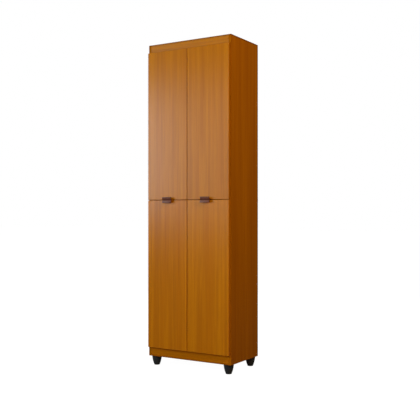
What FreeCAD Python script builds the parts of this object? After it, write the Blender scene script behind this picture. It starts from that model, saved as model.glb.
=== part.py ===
import FreeCAD, Part

import math
import os

from FreeCAD import Placement, Rotation, Vector

# Tall storage cabinet of laminated board on four tapered plastic feet. Four flat doors, two above
# two, cover the front and swing outwards on cup hinges at the outer sides. A fixed middle panel
# parts the upper and lower compartments, and each compartment holds two loose shelves on pins.
# Millimetres, +Z up, the doors face -Y. The origin is on the floor under the middle of the whole.

# Carcass boards
carcass_width = 548.0
carcass_height = 1800.0
side_depth = 312.0
board_thickness = 15.0
board_softening = 0.6

# Doors and the bands of rail that show above and below them
door_thickness = 15.0
door_side_reveal = 5.0
door_centre_gap = 3.0
door_edge_radius = 1.2
top_band = 49.0
plinth_band = 52.0
rail_behind_door = 12.0

# Back panels and the strip that joins them
back_thickness = 3.0
back_reveal = 1.0
strip_height = 20.0
strip_thickness = 1.0

# Shelves and their supports
shelf_thickness = 15.0
shelf_front_setback = 20.0
shelf_side_clearance = 1.0
shelf_back_clearance = 2.0
shelf_height_shares = (0.34, 0.67)
support_pin_radius = 2.5
support_pin_length = 8.0
support_hole_clearance = 0.1
support_from_edge = 40.0
support_hole_pitch = 32.0
support_holes_each_way = 2
support_ledge_length = 9.0
support_ledge_width = 10.0
support_ledge_thickness = 2.0
support_plate_height = 11.0

# Feet
foot_height = 54.0
foot_edge_margin = 5.0
foot_top_radius = 28.0
foot_collar_height = 10.0
foot_bottom_radius = 16.5
foot_bulge = 1.6
foot_bottom_rounding = 2.5
foot_wall = 3.5
foot_floor = 5.0
foot_tube_radius = 9.0
foot_bore_radius = 5.5
foot_web = 8.0
foot_screw_head_radius = 4.2
foot_screw_head_height = 2.6
foot_screw_radius = 2.2
foot_screw_bite = 12.0

# Screws and dowels that join the boards, and the caps over the screw heads
fixing_from_edge = 60.0
dowel_from_screw = 40.0
rail_dowel_spacing = 36.0
assembly_head_radius = 4.8
assembly_head_depth = 3.2
assembly_screw_radius = 2.5
assembly_screw_bite = 30.0
cap_radius = 6.5
cap_thickness = 0.6
dowel_radius = 4.0
dowel_length = 30.0
dowel_in_side = 10.0

# Nails round the back panels
nail_head_radius = 2.0
nail_head_thickness = 0.6
nail_radius = 0.6
nail_bite = 11.0
nails_per_side = 6
nails_per_end = 4
nail_from_corner = 45.0

# Bumpers that hold the closed doors off the carcass
bumper_radius = 2.4
bumper_from_centre = 22.0

# Cup hinges
hinge_from_door_end = 100.0
cup_radius = 13.0
cup_skin = 3.0
cup_wall = 0.7
cup_floor = 0.9
cup_from_door_edge = 3.0
cup_bore_clearance = 0.1
ear_thickness = 1.0
ear_end_margin = 5.5
ear_edge_inset = 1.0
ear_corner_radius = 6.0
cup_screw_from_cup = 6.0
pin_radius = 0.9
pin_clearance = 0.05
pin_end_wall = 0.5
hub_wall = 0.8
hub_clearance = 0.4
arm_thickness = 2.0
arm_width = 12.0
arm_wall = 1.2
arm_length = 48.0
arm_channel_start = 10.0
nose_width = 5.2
boss_clearance = 0.3
swing_clearance = 0.2
stem_clearance = 1.0
plate_thickness = 2.0
plate_fit_clearance = 0.2
plate_screw_setback = 37.0
plate_screw_spacing = 32.0
plate_wing_width = 14.0
plate_wing_margin = 6.0
plate_pad_width = 14.0
plate_end_margin = 2.0
arm_screw_setback = 24.0
small_head_radius = 3.2
small_head_height = 1.6
small_screw_radius = 1.6
cup_screw_bite = 10.5
plate_screw_bite = 11.0
arm_screw_bite = 4.0

# Edge pulls, bent from sheet, one on each door's edge at the gap between the two levels
pull_width = 60.0
pull_projection = 20.0
pull_lip_height = 16.0
pull_flare = 3.0
pull_sheet = 1.2
pull_bend_inside = 2.3
pull_curl_inside = 1.3
pull_curl_length = 4.5
pull_seat_depth = 12.0
pull_running_gap = 0.6
pull_from_free_edge = 125.0
pull_screw_spacing = 40.0
pull_head_radius = 2.4
pull_screw_radius = 1.25
pull_screw_bite = 12.0

# Values that many pieces share
pilot_clearance = 0.1
cut_overrun = 1.0
recess_width_share = 0.28
recess_length_share = 1.1
recess_depth_share = 0.6
screw_tip_share = 1.2

X_AXIS = Vector(1, 0, 0)
Y_AXIS = Vector(0, 1, 0)
Z_AXIS = Vector(0, 0, 1)
SIDES = {"left": -1, "right": 1}

# Sizes and places that follow from the values above
hub_radius = pin_radius + hub_wall
nose_half = nose_width / 2
arm_half = arm_width / 2
cup_depth = door_thickness - cup_skin
cup_centre = cup_from_door_edge + cup_radius
cup_near_wall = cup_centre - math.sqrt((cup_radius - cup_wall) ** 2 - nose_half ** 2)
pin_from_door_edge = cup_near_wall + hub_clearance + hub_radius
pin_in_door = cup_depth - cup_floor - hub_clearance - hub_radius
corner_swing = math.hypot(pin_from_door_edge - door_edge_radius, pin_in_door - door_edge_radius)
door_back_gap = corner_swing + door_edge_radius - pin_in_door + swing_clearance

front_build_out = pull_projection + door_thickness + door_back_gap
overall_depth = front_build_out + side_depth + back_thickness + strip_thickness
carcass_front = front_build_out - overall_depth / 2
carcass_rear = carcass_front + side_depth
back_rear = carcass_rear + back_thickness
half_width = carcass_width / 2
inner_half = half_width - board_thickness
carcass_bottom = foot_height
carcass_top = foot_height + carcass_height

door_back = carcass_front - door_back_gap
door_front = door_back - door_thickness
door_level_gap = 2 * pull_sheet + pull_running_gap
door_height = (carcass_height - top_band - plinth_band - door_level_gap) / 2
door_width = half_width - door_side_reveal - door_centre_gap / 2
door_bottoms = {
    "lower": carcass_bottom + plinth_band,
    "upper": carcass_bottom + plinth_band + door_height + door_level_gap,
}
middle_level = door_bottoms["upper"] - door_level_gap / 2
middle_bottom = middle_level - board_thickness / 2
middle_top = middle_level + board_thickness / 2
compartments = {
    "lower": (carcass_bottom + board_thickness, middle_bottom),
    "upper": (middle_top, carcass_top - board_thickness),
}

stem_near = pin_from_door_edge + pin_in_door + ear_thickness + stem_clearance
stem_far = stem_near + arm_thickness
side_inner = board_thickness - door_side_reveal
cup_screw_reach = cup_radius + cup_screw_from_cup
foot_inset = foot_top_radius + foot_edge_margin
assembly_screw_length = board_thickness + assembly_screw_bite
assembly_screw_sizes = (
    assembly_head_radius, assembly_head_depth, assembly_screw_radius, assembly_screw_length
)
nail_length = back_thickness + nail_bite
foot_screw_length = foot_web + foot_screw_bite
cup_screw_length = ear_thickness + cup_screw_bite
plate_screw_length = plate_thickness + plate_screw_bite
arm_screw_length = arm_thickness + arm_screw_bite
pull_screw_sizes = (pull_head_radius, pull_sheet, pull_screw_radius, pull_sheet + pull_screw_bite)


def block(xs, ys, zs):
    """A box between two places along each axis."""
    corner = Vector(min(xs), min(ys), min(zs))
    size = [abs(b - a) for a, b in (xs, ys, zs)]
    return Part.makeBox(size[0], size[1], size[2], corner)


def softened(solid, radius):
    """The same solid with every edge rounded, or as it is where the radius is zero."""
    return solid.makeFillet(radius, solid.Edges) if radius > 0 else solid


def rod(radius, start, end):
    """A cylinder from one point to another."""
    along = end - start
    return Part.makeCylinder(radius, along.Length, start, along)


def placed(solid, point, outward):
    """A solid built up the Z axis at the origin, moved to a point and turned to look outward."""
    moved = solid.copy()
    moved.Placement = Placement(point, Rotation(Z_AXIS, outward))
    return moved


def mirrored(solid, side):
    """A solid made for the right side, or its mirror image for the left."""
    return solid if SIDES[side] > 0 else solid.mirror(Vector(0, 0, 0), X_AXIS)


def turned(points):
    """A solid of revolution about Z from its half outline of radius and height pairs."""
    corners = [Vector(radius, 0, height) for radius, height in points]
    face = Part.Face(Part.makePolygon(corners + corners[:1]))
    return face.revolve(Vector(0, 0, 0), Z_AXIS, 360)


def cross_recess(head_radius, head_height, top):
    """The cross cut in a screw head of this height that ends at top."""
    reach = head_radius * recess_length_share / 2
    half = head_radius * recess_width_share / 2
    span = (top - head_height * recess_depth_share, top + cut_overrun)
    return block((-reach, reach), (-half, half), span).fuse(block((-half, half), (-reach, reach), span))


def pan_screw(head_radius, head_height, radius, length):
    """A screw up the Z axis whose low round head stands on the origin."""
    tip = radius * screw_tip_share
    rim = head_height / 3
    shank = turned([(0, -length), (radius, tip - length), (radius, 0), (0, 0)])
    shoulder = Vector(head_radius, 0, rim)
    crown = Vector(0, 0, head_height)
    slant = math.sin(math.pi / 4)
    bulge = Vector(head_radius * slant, 0, rim + (head_height - rim) * slant)
    outline = Part.Wire([
        Part.makeLine(Vector(0, 0, 0), Vector(head_radius, 0, 0)),
        Part.makeLine(Vector(head_radius, 0, 0), shoulder),
        Part.Arc(shoulder, bulge, crown).toShape(),
        Part.makeLine(crown, Vector(0, 0, 0)),
    ])
    head = Part.Face(outline).revolve(Vector(0, 0, 0), Z_AXIS, 360)
    return shank.fuse(head).removeSplitter().cut(cross_recess(head_radius, head_height, head_height))


def flush_screw(head_radius, head_depth, radius, length):
    """A countersunk screw up the Z axis whose flat head ends at the origin."""
    tip = radius * screw_tip_share
    body = turned([(0, -length), (radius, tip - length), (radius, -head_depth), (head_radius, 0), (0, 0)])
    return body.cut(cross_recess(head_radius, head_depth, 0))


def pilot(radius, length):
    """The hole for a screw's shank, down from the origin."""
    return Part.makeCylinder(radius + pilot_clearance, length + pilot_clearance, Vector(0, 0, 0), -Z_AXIS)


def flush_pilot(head_radius, head_depth, radius, length):
    """The hole and countersink for a flush screw, down from the origin."""
    wide = head_radius + pilot_clearance
    narrow = radius + pilot_clearance
    foot = -length - pilot_clearance
    return turned([
        (0, foot),
        (narrow, foot),
        (narrow, -head_depth),
        (wide, 0),
        (wide, cut_overrun),
        (0, cut_overrun),
    ])


def save(name, solids):
    """Writes one node as a STEP file."""
    shape = solids[0] if len(solids) == 1 else Part.makeCompound(solids)
    shape.exportStep(os.path.join("parts", name + ".step"))


# Where the screws, dowels and nails go

def fixing_places():
    """Depth and height of every assembly screw, which enters each side from outside."""
    depths = (carcass_front + fixing_from_edge, carcass_rear - fixing_from_edge)
    heights = (carcass_bottom + board_thickness / 2, middle_level, carcass_top - board_thickness / 2)
    places = [(y, z) for z in heights for y in depths]
    rail_depth = carcass_front + board_thickness / 2
    return places + [(rail_depth, z) for z in rail_middles()]


def rail_middles():
    """Middle heights of the plinth rail and the top rail."""
    return (
        carcass_bottom + (plinth_band + rail_behind_door) / 2,
        carcass_top - (top_band + rail_behind_door) / 2,
    )


def dowel_places():
    """Depth and height of every dowel between a side and a board's end."""
    from_edge = fixing_from_edge + dowel_from_screw
    depths = (carcass_front + from_edge, carcass_rear - from_edge)
    heights = (carcass_bottom + board_thickness / 2, middle_level, carcass_top - board_thickness / 2)
    places = [(y, z) for z in heights for y in depths]
    rail_depth = carcass_front + board_thickness / 2
    shifts = (-rail_dowel_spacing / 2, rail_dowel_spacing / 2)
    return places + [(rail_depth, z + shift) for z in rail_middles() for shift in shifts]


def assembly_screws():
    screw = flush_screw(*assembly_screw_sizes)
    return [
        placed(screw, Vector(sign * half_width, y, z), X_AXIS * sign)
        for sign in SIDES.values()
        for y, z in fixing_places()
    ]


def screw_caps():
    return [
        rod(cap_radius, Vector(sign * half_width, y, z), Vector(sign * (half_width + cap_thickness), y, z))
        for sign in SIDES.values()
        for y, z in fixing_places()
    ]


def dowel_span():
    """How far out a dowel starts and ends, from the middle of the cabinet."""
    outer = inner_half + dowel_in_side
    return outer - dowel_length, outer


def dowels():
    inner, outer = dowel_span()
    return [
        rod(dowel_radius, Vector(sign * inner, y, z), Vector(sign * outer, y, z))
        for sign in SIDES.values()
        for y, z in dowel_places()
    ]


def fixing_holes():
    """Everything that the assembly screws and dowels take out of the boards."""
    hole = flush_pilot(*assembly_screw_sizes)
    holes = [
        placed(hole, Vector(sign * half_width, y, z), X_AXIS * sign)
        for sign in SIDES.values()
        for y, z in fixing_places()
    ]
    inner, outer = dowel_span()
    for sign in SIDES.values():
        for y, z in dowel_places():
            start = Vector(sign * (inner - pilot_clearance), y, z)
            end = Vector(sign * (outer + pilot_clearance), y, z)
            holes.append(rod(dowel_radius + pilot_clearance, start, end))
    return holes


def nail_places():
    """Across and up places of the nails round both back panels."""
    across = half_width - board_thickness / 2
    places = []
    for bottom, top in ((carcass_bottom, middle_level), (middle_level, carcass_top)):
        step = (top - bottom - 2 * nail_from_corner) / (nails_per_side - 1)
        heights = [bottom + nail_from_corner + step * i for i in range(nails_per_side)]
        places += [(sign * across, z) for sign in SIDES.values() for z in heights]
    step = 2 * (half_width - nail_from_corner) / (nails_per_end - 1)
    ends = (carcass_bottom + board_thickness / 2, carcass_top - board_thickness / 2)
    for i in range(nails_per_end):
        places += [(nail_from_corner - half_width + step * i, z) for z in ends]
    return places


def back_nails():
    nail = turned([
        (0, -nail_length),
        (nail_radius, nail_radius - nail_length),
        (nail_radius, 0),
        (nail_head_radius, 0),
        (nail_head_radius, nail_head_thickness),
        (0, nail_head_thickness),
    ])
    return [placed(nail, Vector(x, back_rear, z), Y_AXIS) for x, z in nail_places()]


def nail_holes():
    hole = pilot(nail_radius, nail_length)
    return [placed(hole, Vector(x, back_rear, z), Y_AXIS) for x, z in nail_places()]


# Carcass

def board(xs, ys, zs, holes):
    """A board with softened edges and the given holes."""
    return softened(block(xs, ys, zs), board_softening).cut(holes)


def side_panel(side, holes):
    """An upright side, drilled for its fixings, its shelf supports and its hinge plates."""
    sign = SIDES[side]
    return board(
        (sign * inner_half, sign * half_width),
        (carcass_front, carcass_rear),
        (carcass_bottom, carcass_top),
        holes + support_holes(side) + plate_screw_holes(side),
    )


def end_panel(bottom, holes):
    """The top or the base panel, between the sides and behind its rail."""
    return board(
        (-inner_half, inner_half),
        (carcass_front + board_thickness, carcass_rear),
        (bottom, bottom + board_thickness),
        holes,
    )


def middle_panel(holes):
    """The fixed panel between the compartments, whose front edge the doors lie over."""
    return board(
        (-inner_half, inner_half),
        (carcass_front, carcass_rear),
        (middle_bottom, middle_top),
        holes,
    )


def rail(bottom, top, holes):
    """A front rail that stands on edge between the sides."""
    return board(
        (-inner_half, inner_half),
        (carcass_front, carcass_front + board_thickness),
        (bottom, top),
        holes,
    )


def back_panel(bottom, top, holes):
    reach = half_width - back_reveal
    return block((-reach, reach), (carcass_rear, back_rear), (bottom, top)).cut(holes)


def back_joint_strip():
    """A T-shaped plastic strip, pressed between the back panels to cover their joint."""
    reach = half_width - back_reveal
    half = strip_height / 2
    web = strip_thickness / 2
    cover = block(
        (-reach, reach),
        (back_rear, back_rear + strip_thickness),
        (middle_level - half, middle_level + half),
    )
    tongue = block((-reach, reach), (carcass_rear, back_rear), (middle_level - web, middle_level + web))
    return cover.fuse(tongue).removeSplitter()


# Shelves

def shelf_bottoms(level):
    """Undersides of a compartment's shelves."""
    low, high = compartments[level]
    return [low + (high - low) * share - shelf_thickness / 2 for share in shelf_height_shares]


def shelf(bottom):
    reach = inner_half - shelf_side_clearance
    return softened(
        block(
            (-reach, reach),
            (carcass_front + shelf_front_setback, carcass_rear - shelf_back_clearance),
            (bottom, bottom + shelf_thickness),
        ),
        board_softening,
    )


def support_depths():
    return (carcass_front + support_from_edge, carcass_rear - support_from_edge)


def support_pin_level(bottom):
    """Height of the hole whose pin carries a shelf with this underside."""
    return bottom - support_plate_height / 2


def support_holes(side):
    """Rows of blind holes on a side's inner face, so that each shelf can move up and down."""
    sign = SIDES[side]
    depth = support_pin_length + support_hole_clearance
    holes = []
    for level in compartments:
        for bottom in shelf_bottoms(level):
            for step in range(-support_holes_each_way, support_holes_each_way + 1):
                for y in support_depths():
                    z = support_pin_level(bottom) + step * support_hole_pitch
                    start = Vector(sign * inner_half, y, z)
                    end = Vector(sign * (inner_half + depth), y, z)
                    holes.append(rod(support_pin_radius + support_hole_clearance, start, end))
    return holes


def shelf_support(side, y, bottom):
    """A pin with a plate and a ledge, whose flat top carries the shelf."""
    z = support_pin_level(bottom)
    half = support_ledge_width / 2
    face = inner_half - support_ledge_thickness
    pin = rod(support_pin_radius, Vector(face, y, z), Vector(inner_half + support_pin_length, y, z))
    plate = block((face, inner_half), (y - half, y + half), (bottom - support_plate_height, bottom))
    ledge = block(
        (inner_half - support_ledge_length, inner_half),
        (y - half, y + half),
        (bottom - support_ledge_thickness, bottom),
    )
    return mirrored(pin.fuse([plate, ledge]).removeSplitter(), side)


def shelf_supports():
    return [
        shelf_support(side, y, bottom)
        for level in compartments
        for bottom in shelf_bottoms(level)
        for side in SIDES
        for y in support_depths()
    ]


# Feet

def foot_places():
    """Where each foot stands."""
    across = half_width - foot_inset
    depths = {"front": carcass_front + foot_inset, "rear": back_rear - foot_inset}
    return {
        end + "_" + side: (sign * across, y)
        for end, y in depths.items()
        for side, sign in SIDES.items()
    }


def foot(x, y):
    """A hollow tapered plastic foot with a central tube for its screw."""
    collar = foot_height - foot_collar_height
    top = Vector(foot_top_radius, 0, foot_height)
    shoulder = Vector(foot_top_radius, 0, collar)
    heel = Vector(foot_bottom_radius, 0, foot_bottom_rounding)
    waist = (heel + shoulder) / 2 + X_AXIS * foot_bulge
    toe = Vector(foot_bottom_radius - foot_bottom_rounding, 0, 0)
    drop = foot_bottom_rounding * math.sin(math.pi / 4)
    turn = Vector(toe.x + drop, 0, foot_bottom_rounding - drop)
    outline = Part.Wire([
        Part.makeLine(Vector(0, 0, 0), toe),
        Part.Arc(toe, turn, heel).toShape(),
        Part.Arc(heel, waist, shoulder).toShape(),
        Part.makeLine(shoulder, top),
        Part.makeLine(top, Vector(0, 0, foot_height)),
        Part.makeLine(Vector(0, 0, foot_height), Vector(0, 0, 0)),
    ])
    body = Part.Face(outline).revolve(Vector(0, 0, 0), Z_AXIS, 360)
    hollow = Part.makeCone(
        foot_bottom_radius - foot_wall,
        foot_top_radius - foot_wall,
        foot_height - foot_floor,
        Vector(0, 0, foot_floor),
    )
    tube = Part.makeCylinder(foot_tube_radius, foot_height)
    bore = Part.makeCylinder(foot_bore_radius, foot_height - foot_web)
    hole = Part.makeCylinder(foot_screw_radius + pilot_clearance, foot_height)
    solid = body.cut(hollow.cut(tube)).cut([bore, hole])
    solid.translate(Vector(x, y, 0))
    return solid


def foot_screws():
    screw = pan_screw(foot_screw_head_radius, foot_screw_head_height, foot_screw_radius, foot_screw_length)
    seat = foot_height - foot_web
    return [placed(screw, Vector(x, y, seat), -Z_AXIS) for x, y in foot_places().values()]


def foot_screw_holes():
    seat = foot_height - foot_web
    hole = pilot(foot_screw_radius, foot_screw_length)
    return [placed(hole, Vector(x, y, seat), -Z_AXIS) for x, y in foot_places().values()]


# Hinges. They are made for the right side, with inward measured from the door's outer edge and
# inside measured into the door from its back face, and mirrored for the left.

def across(inward):
    return half_width - door_side_reveal - inward


def along(inside):
    return door_back - inside


def hinge_heights(level):
    """Middle heights of a door's two hinges."""
    bottom = door_bottoms[level]
    return {
        "bottom": bottom + hinge_from_door_end,
        "top": bottom + door_height - hinge_from_door_end,
    }


def all_hinges():
    """Level, side, end and height of every hinge."""
    return [
        (level, side, end, height)
        for level in door_bottoms
        for side in SIDES
        for end, height in hinge_heights(level).items()
    ]


def at_hinge(solid, side, height):
    """A right-hand hinge piece at height zero, moved to its own hinge."""
    moved = solid.copy()
    moved.translate(Vector(0, 0, height))
    return mirrored(moved, side)


def pin_half_length():
    """Half the hinge pin, which ends inside the cup's round wall."""
    offset = cup_centre - pin_from_door_edge + pin_radius
    return math.sqrt(cup_radius ** 2 - offset ** 2) - pin_end_wall


def hinge_pin():
    x = across(pin_from_door_edge)
    y = along(pin_in_door)
    reach = pin_half_length()
    return rod(pin_radius, Vector(x, y, -reach), Vector(x, y, reach))


def pin_bore(half_length):
    x = across(pin_from_door_edge)
    y = along(pin_in_door)
    return rod(pin_radius + pin_clearance, Vector(x, y, -half_length), Vector(x, y, half_length))


def hinge_cup():
    """A steel cup sunk in the door, with two screwed ears and two bosses that hold the pin."""
    x = across(cup_centre)
    outer = rod(cup_radius, Vector(x, along(cup_depth), 0), Vector(x, along(-ear_thickness), 0))
    inner = rod(
        cup_radius - cup_wall,
        Vector(x, along(cup_depth - cup_floor), 0),
        Vector(x, along(-ear_thickness) + cut_overrun, 0),
    )
    ear_edges = (cup_from_door_edge + ear_edge_inset, cup_centre + cup_radius - ear_edge_inset)
    ears = block(
        (across(ear_edges[0]), across(ear_edges[1])),
        (along(0), along(-ear_thickness)),
        (-cup_screw_reach - ear_end_margin, cup_screw_reach + ear_end_margin),
    )
    corners = [edge for edge in ears.Edges if edge.BoundBox.YLength > ear_thickness / 2]
    ears = ears.makeFillet(ear_corner_radius, corners)
    rim = block(
        (across(cup_from_door_edge - cut_overrun), across(ear_edges[0])),
        (along(0), along(-ear_thickness) + cut_overrun),
        (-cup_radius, cup_radius),
    )
    shell = outer.fuse(ears).cut([inner, rim])
    boss_half = hub_radius + hub_clearance
    bosses = [
        block(
            (across(cup_from_door_edge), across(pin_from_door_edge + boss_half)),
            (along(pin_in_door - boss_half), along(cup_depth)),
            (sign * (nose_half + boss_clearance), sign * cup_radius),
        ).common(outer)
        for sign in (-1, 1)
    ]
    cup = shell.fuse(bosses).removeSplitter().cut(pin_bore(pin_half_length() + pilot_clearance))
    return cup.cut([placed(ear_hole(), point, Y_AXIS) for point in cup_screw_points()])


def ear_hole():
    radius = small_screw_radius + pilot_clearance
    start = Vector(0, 0, -ear_thickness - cut_overrun)
    return rod(radius, start, Vector(0, 0, cut_overrun))


def cup_screw_points():
    """The heads' seats on the ears of a hinge at height zero."""
    y = along(-ear_thickness)
    return [Vector(across(cup_centre), y, z) for z in (-cup_screw_reach, cup_screw_reach)]


def cup_screws():
    """The screws of a hinge at height zero."""
    screw = pan_screw(small_head_radius, small_head_height, small_screw_radius, cup_screw_length)
    return [placed(screw, point, Y_AXIS) for point in cup_screw_points()]


def hinge_arm():
    """A steel arm from the hinge plate, through the cup's mouth, to the pin."""
    x = across(pin_from_door_edge)
    y = along(pin_in_door)
    half = arm_thickness / 2
    rear = carcass_front + arm_length
    hub = rod(hub_radius, Vector(x, y, -nose_half), Vector(x, y, nose_half))
    nose = block((x, across(stem_far)), (y - half, y + half), (-nose_half, nose_half))
    stem = block((across(stem_near), across(stem_far)), (y - half, rear), (-arm_half, arm_half))
    wall_foot = side_inner + plate_thickness + plate_fit_clearance
    walls = [
        block(
            (across(wall_foot), across(stem_near)),
            (carcass_front + arm_channel_start, rear),
            (sign * (arm_half - arm_wall), sign * arm_half),
        )
        for sign in (-1, 1)
    ]
    arm = hub.fuse([nose, stem] + walls).removeSplitter()
    screw_hole = rod(
        small_screw_radius + pilot_clearance,
        Vector(across(stem_near) + cut_overrun, carcass_front + arm_screw_setback, 0),
        Vector(across(stem_far) - cut_overrun, carcass_front + arm_screw_setback, 0),
    )
    return arm.cut([pin_bore(nose_half + cut_overrun), screw_hole])


def hinge_plate():
    """The plate screwed to the side, with a raised block that the arm sits on."""
    face = side_inner + plate_thickness
    middle = carcass_front + plate_screw_setback
    wing_reach = plate_screw_spacing / 2 + plate_wing_margin
    half_wing = plate_wing_width / 2
    half_pad = plate_pad_width / 2
    half_block = arm_half - arm_wall - plate_fit_clearance
    start = carcass_front + arm_channel_start + plate_end_margin
    end = carcass_front + arm_length - plate_end_margin
    layer = (across(side_inner), across(face))
    wing = block(layer, (middle - half_wing, middle + half_wing), (-wing_reach, wing_reach))
    pad = block(layer, (start, end), (-half_pad, half_pad))
    ridge = block((across(face), across(stem_near)), (start, end), (-half_block, half_block))
    hole = pilot(small_screw_radius, plate_screw_length)
    holes = [placed(hole, point, -X_AXIS) for point in plate_screw_points()]
    holes.append(placed(pilot(small_screw_radius, arm_screw_length), arm_screw_point(), -X_AXIS))
    return wing.fuse([pad, ridge]).removeSplitter().cut(holes)


def plate_screw_points():
    half = plate_screw_spacing / 2
    x = across(side_inner + plate_thickness)
    return [Vector(x, carcass_front + plate_screw_setback, z) for z in (-half, half)]


def arm_screw_point():
    return Vector(across(stem_far), carcass_front + arm_screw_setback, 0)


def plate_screws():
    """The two screws in the side and the one in the arm, for a hinge at height zero."""
    wood = pan_screw(small_head_radius, small_head_height, small_screw_radius, plate_screw_length)
    metal = pan_screw(small_head_radius, small_head_height, small_screw_radius, arm_screw_length)
    screws = [placed(wood, point, -X_AXIS) for point in plate_screw_points()]
    return screws + [placed(metal, arm_screw_point(), -X_AXIS)]


def plate_screw_holes(side):
    """Pilot holes in one side for all its hinge plates."""
    hole = pilot(small_screw_radius, plate_screw_length)
    holes = [placed(hole, point, -X_AXIS) for point in plate_screw_points()]
    return [
        at_hinge(one, side, height)
        for level in door_bottoms
        for height in hinge_heights(level).values()
        for one in holes
    ]


# Doors and pulls

def door_reach(side):
    """A door's two edges across the cabinet."""
    sign = SIDES[side]
    return sign * door_centre_gap / 2, sign * (door_centre_gap / 2 + door_width)


def cup_cuts():
    """What one hinge takes out of its door, at height zero."""
    bore = rod(
        cup_radius + cup_bore_clearance,
        Vector(across(cup_centre), along(cup_depth + cup_bore_clearance), 0),
        Vector(across(cup_centre), along(-cut_overrun), 0),
    )
    hole = pilot(small_screw_radius, cup_screw_length)
    return [bore] + [placed(hole, point, Y_AXIS) for point in cup_screw_points()]


def door(level, side):
    bottom = door_bottoms[level]
    panel = softened(
        block(door_reach(side), (door_front, door_back), (bottom, bottom + door_height)),
        door_edge_radius,
    )
    cuts = [at_hinge(cut, side, height) for height in hinge_heights(level).values() for cut in cup_cuts()]
    hole = flush_pilot(*pull_screw_sizes)
    cuts += [placed(hole, point, pull_outward(level)) for point in pull_screw_points(level, side)]
    return panel.cut(cuts)


def pull_outward(level):
    """The way a door's pull edge looks: up on a lower door, down on an upper one."""
    return Z_AXIS if level == "lower" else -Z_AXIS


def pull_edge(level):
    """Height of the door edge that carries the pull."""
    return door_bottoms["lower"] + door_height if level == "lower" else door_bottoms["upper"]


def pull_middle(side):
    return SIDES[side] * (door_centre_gap / 2 + pull_from_free_edge)


def pull_screw_points(level, side):
    """The screws' flush tops on the pull's seat."""
    y = door_front + door_thickness / 2
    z = pull_edge(level) + pull_outward(level).z * pull_sheet
    half = pull_screw_spacing / 2
    return [Vector(pull_middle(side) + shift, y, z) for shift in (-half, half)]


def bend(before, corner, after, radius):
    """Where a bend leaves the lines on both sides of a corner, with its middle between them."""
    back = (before - corner).normalize()
    onward = (after - corner).normalize()
    half = back.getAngle(onward) / 2
    reach = radius / math.tan(half)
    middle = corner + (back + onward).normalize() * (radius / math.sin(half) - radius)
    return corner + back * reach, middle, corner + onward * reach


def bent_line(points, radii):
    """The edges of a path through the points, with a bend at each inner one."""
    edges = []
    start = points[0]
    for before, corner, after, radius in zip(points, points[1:], points[2:], radii):
        near, middle, far = bend(before, corner, after, radius)
        edges.append(Part.makeLine(start, near))
        edges.append(Part.Arc(near, middle, far).toShape())
        start = far
    return edges + [Part.makeLine(start, points[-1])]


def inside_path(points, sheet):
    """The path a sheet's thickness inside one whose bends all turn the same way."""
    inner = []
    for before, corner, after in zip(points, points[1:], points[2:]):
        back = (before - corner).normalize()
        onward = (after - corner).normalize()
        half = back.getAngle(onward) / 2
        inner.append(corner + (back + onward).normalize() * (sheet / math.sin(half)))
    ends = []
    for end, corner, inside in ((points[0], points[1], inner[0]), (points[-1], points[-2], inner[-1])):
        step = inside - corner
        run = (end - corner).normalize()
        ends.append(end + step - run * step.dot(run))
    return ends[:1] + inner + ends[1:]


def bent_sheet(points, sheet, inside_radii):
    """The section of a bent sheet whose outer face follows the points."""
    inner = inside_path(points, sheet)
    outer_edges = bent_line(points, [radius + sheet for radius in inside_radii])
    inner_edges = bent_line(inner[::-1], inside_radii[::-1])
    ends = [Part.makeLine(points[-1], inner[-1]), Part.makeLine(inner[0], points[0])]
    return Part.Face(Part.Wire(outer_edges + ends[:1] + inner_edges + ends[1:]))


def pull(level, side):
    """A strip of sheet over the door's edge, bent into a flared finger lip with a curled end."""
    rise = pull_outward(level)
    edge = Vector(pull_middle(side) - pull_width / 2, door_front, pull_edge(level))
    lip_end = pull_sheet - pull_lip_height
    slope = math.atan2(pull_flare, pull_lip_height)
    rounding = (pull_curl_inside + pull_sheet) * (math.tan(slope) + 1 / math.cos(slope) - 1)
    tip = pull_projection + rounding
    path = [
        edge + Y_AXIS * pull_seat_depth + rise * pull_sheet,
        edge - Y_AXIS * (tip - pull_flare) + rise * pull_sheet,
        edge - Y_AXIS * tip + rise * lip_end,
        edge - Y_AXIS * (tip - pull_curl_length) + rise * lip_end,
    ]
    strip = bent_sheet(path, pull_sheet, [pull_bend_inside, pull_curl_inside]).extrude(X_AXIS * pull_width)
    hole = flush_pilot(*pull_screw_sizes)
    return strip.cut([placed(hole, point, rise) for point in pull_screw_points(level, side)])


def pull_screws(level, side):
    screw = flush_screw(*pull_screw_sizes)
    return [placed(screw, point, pull_outward(level)) for point in pull_screw_points(level, side)]


def door_bumpers():
    """Soft dots in the middle of each strip where a door lies over the carcass."""
    overlaps = (
        (door_bottoms["lower"], carcass_bottom + plinth_band + rail_behind_door),
        (middle_bottom, door_bottoms["lower"] + door_height),
        (door_bottoms["upper"], middle_top),
        (carcass_top - top_band - rail_behind_door, door_bottoms["upper"] + door_height),
    )
    return [
        rod(
            bumper_radius,
            Vector(sign * bumper_from_centre, door_back, (low + high) / 2),
            Vector(sign * bumper_from_centre, carcass_front, (low + high) / 2),
        )
        for sign in SIDES.values()
        for low, high in overlaps
    ]


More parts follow.
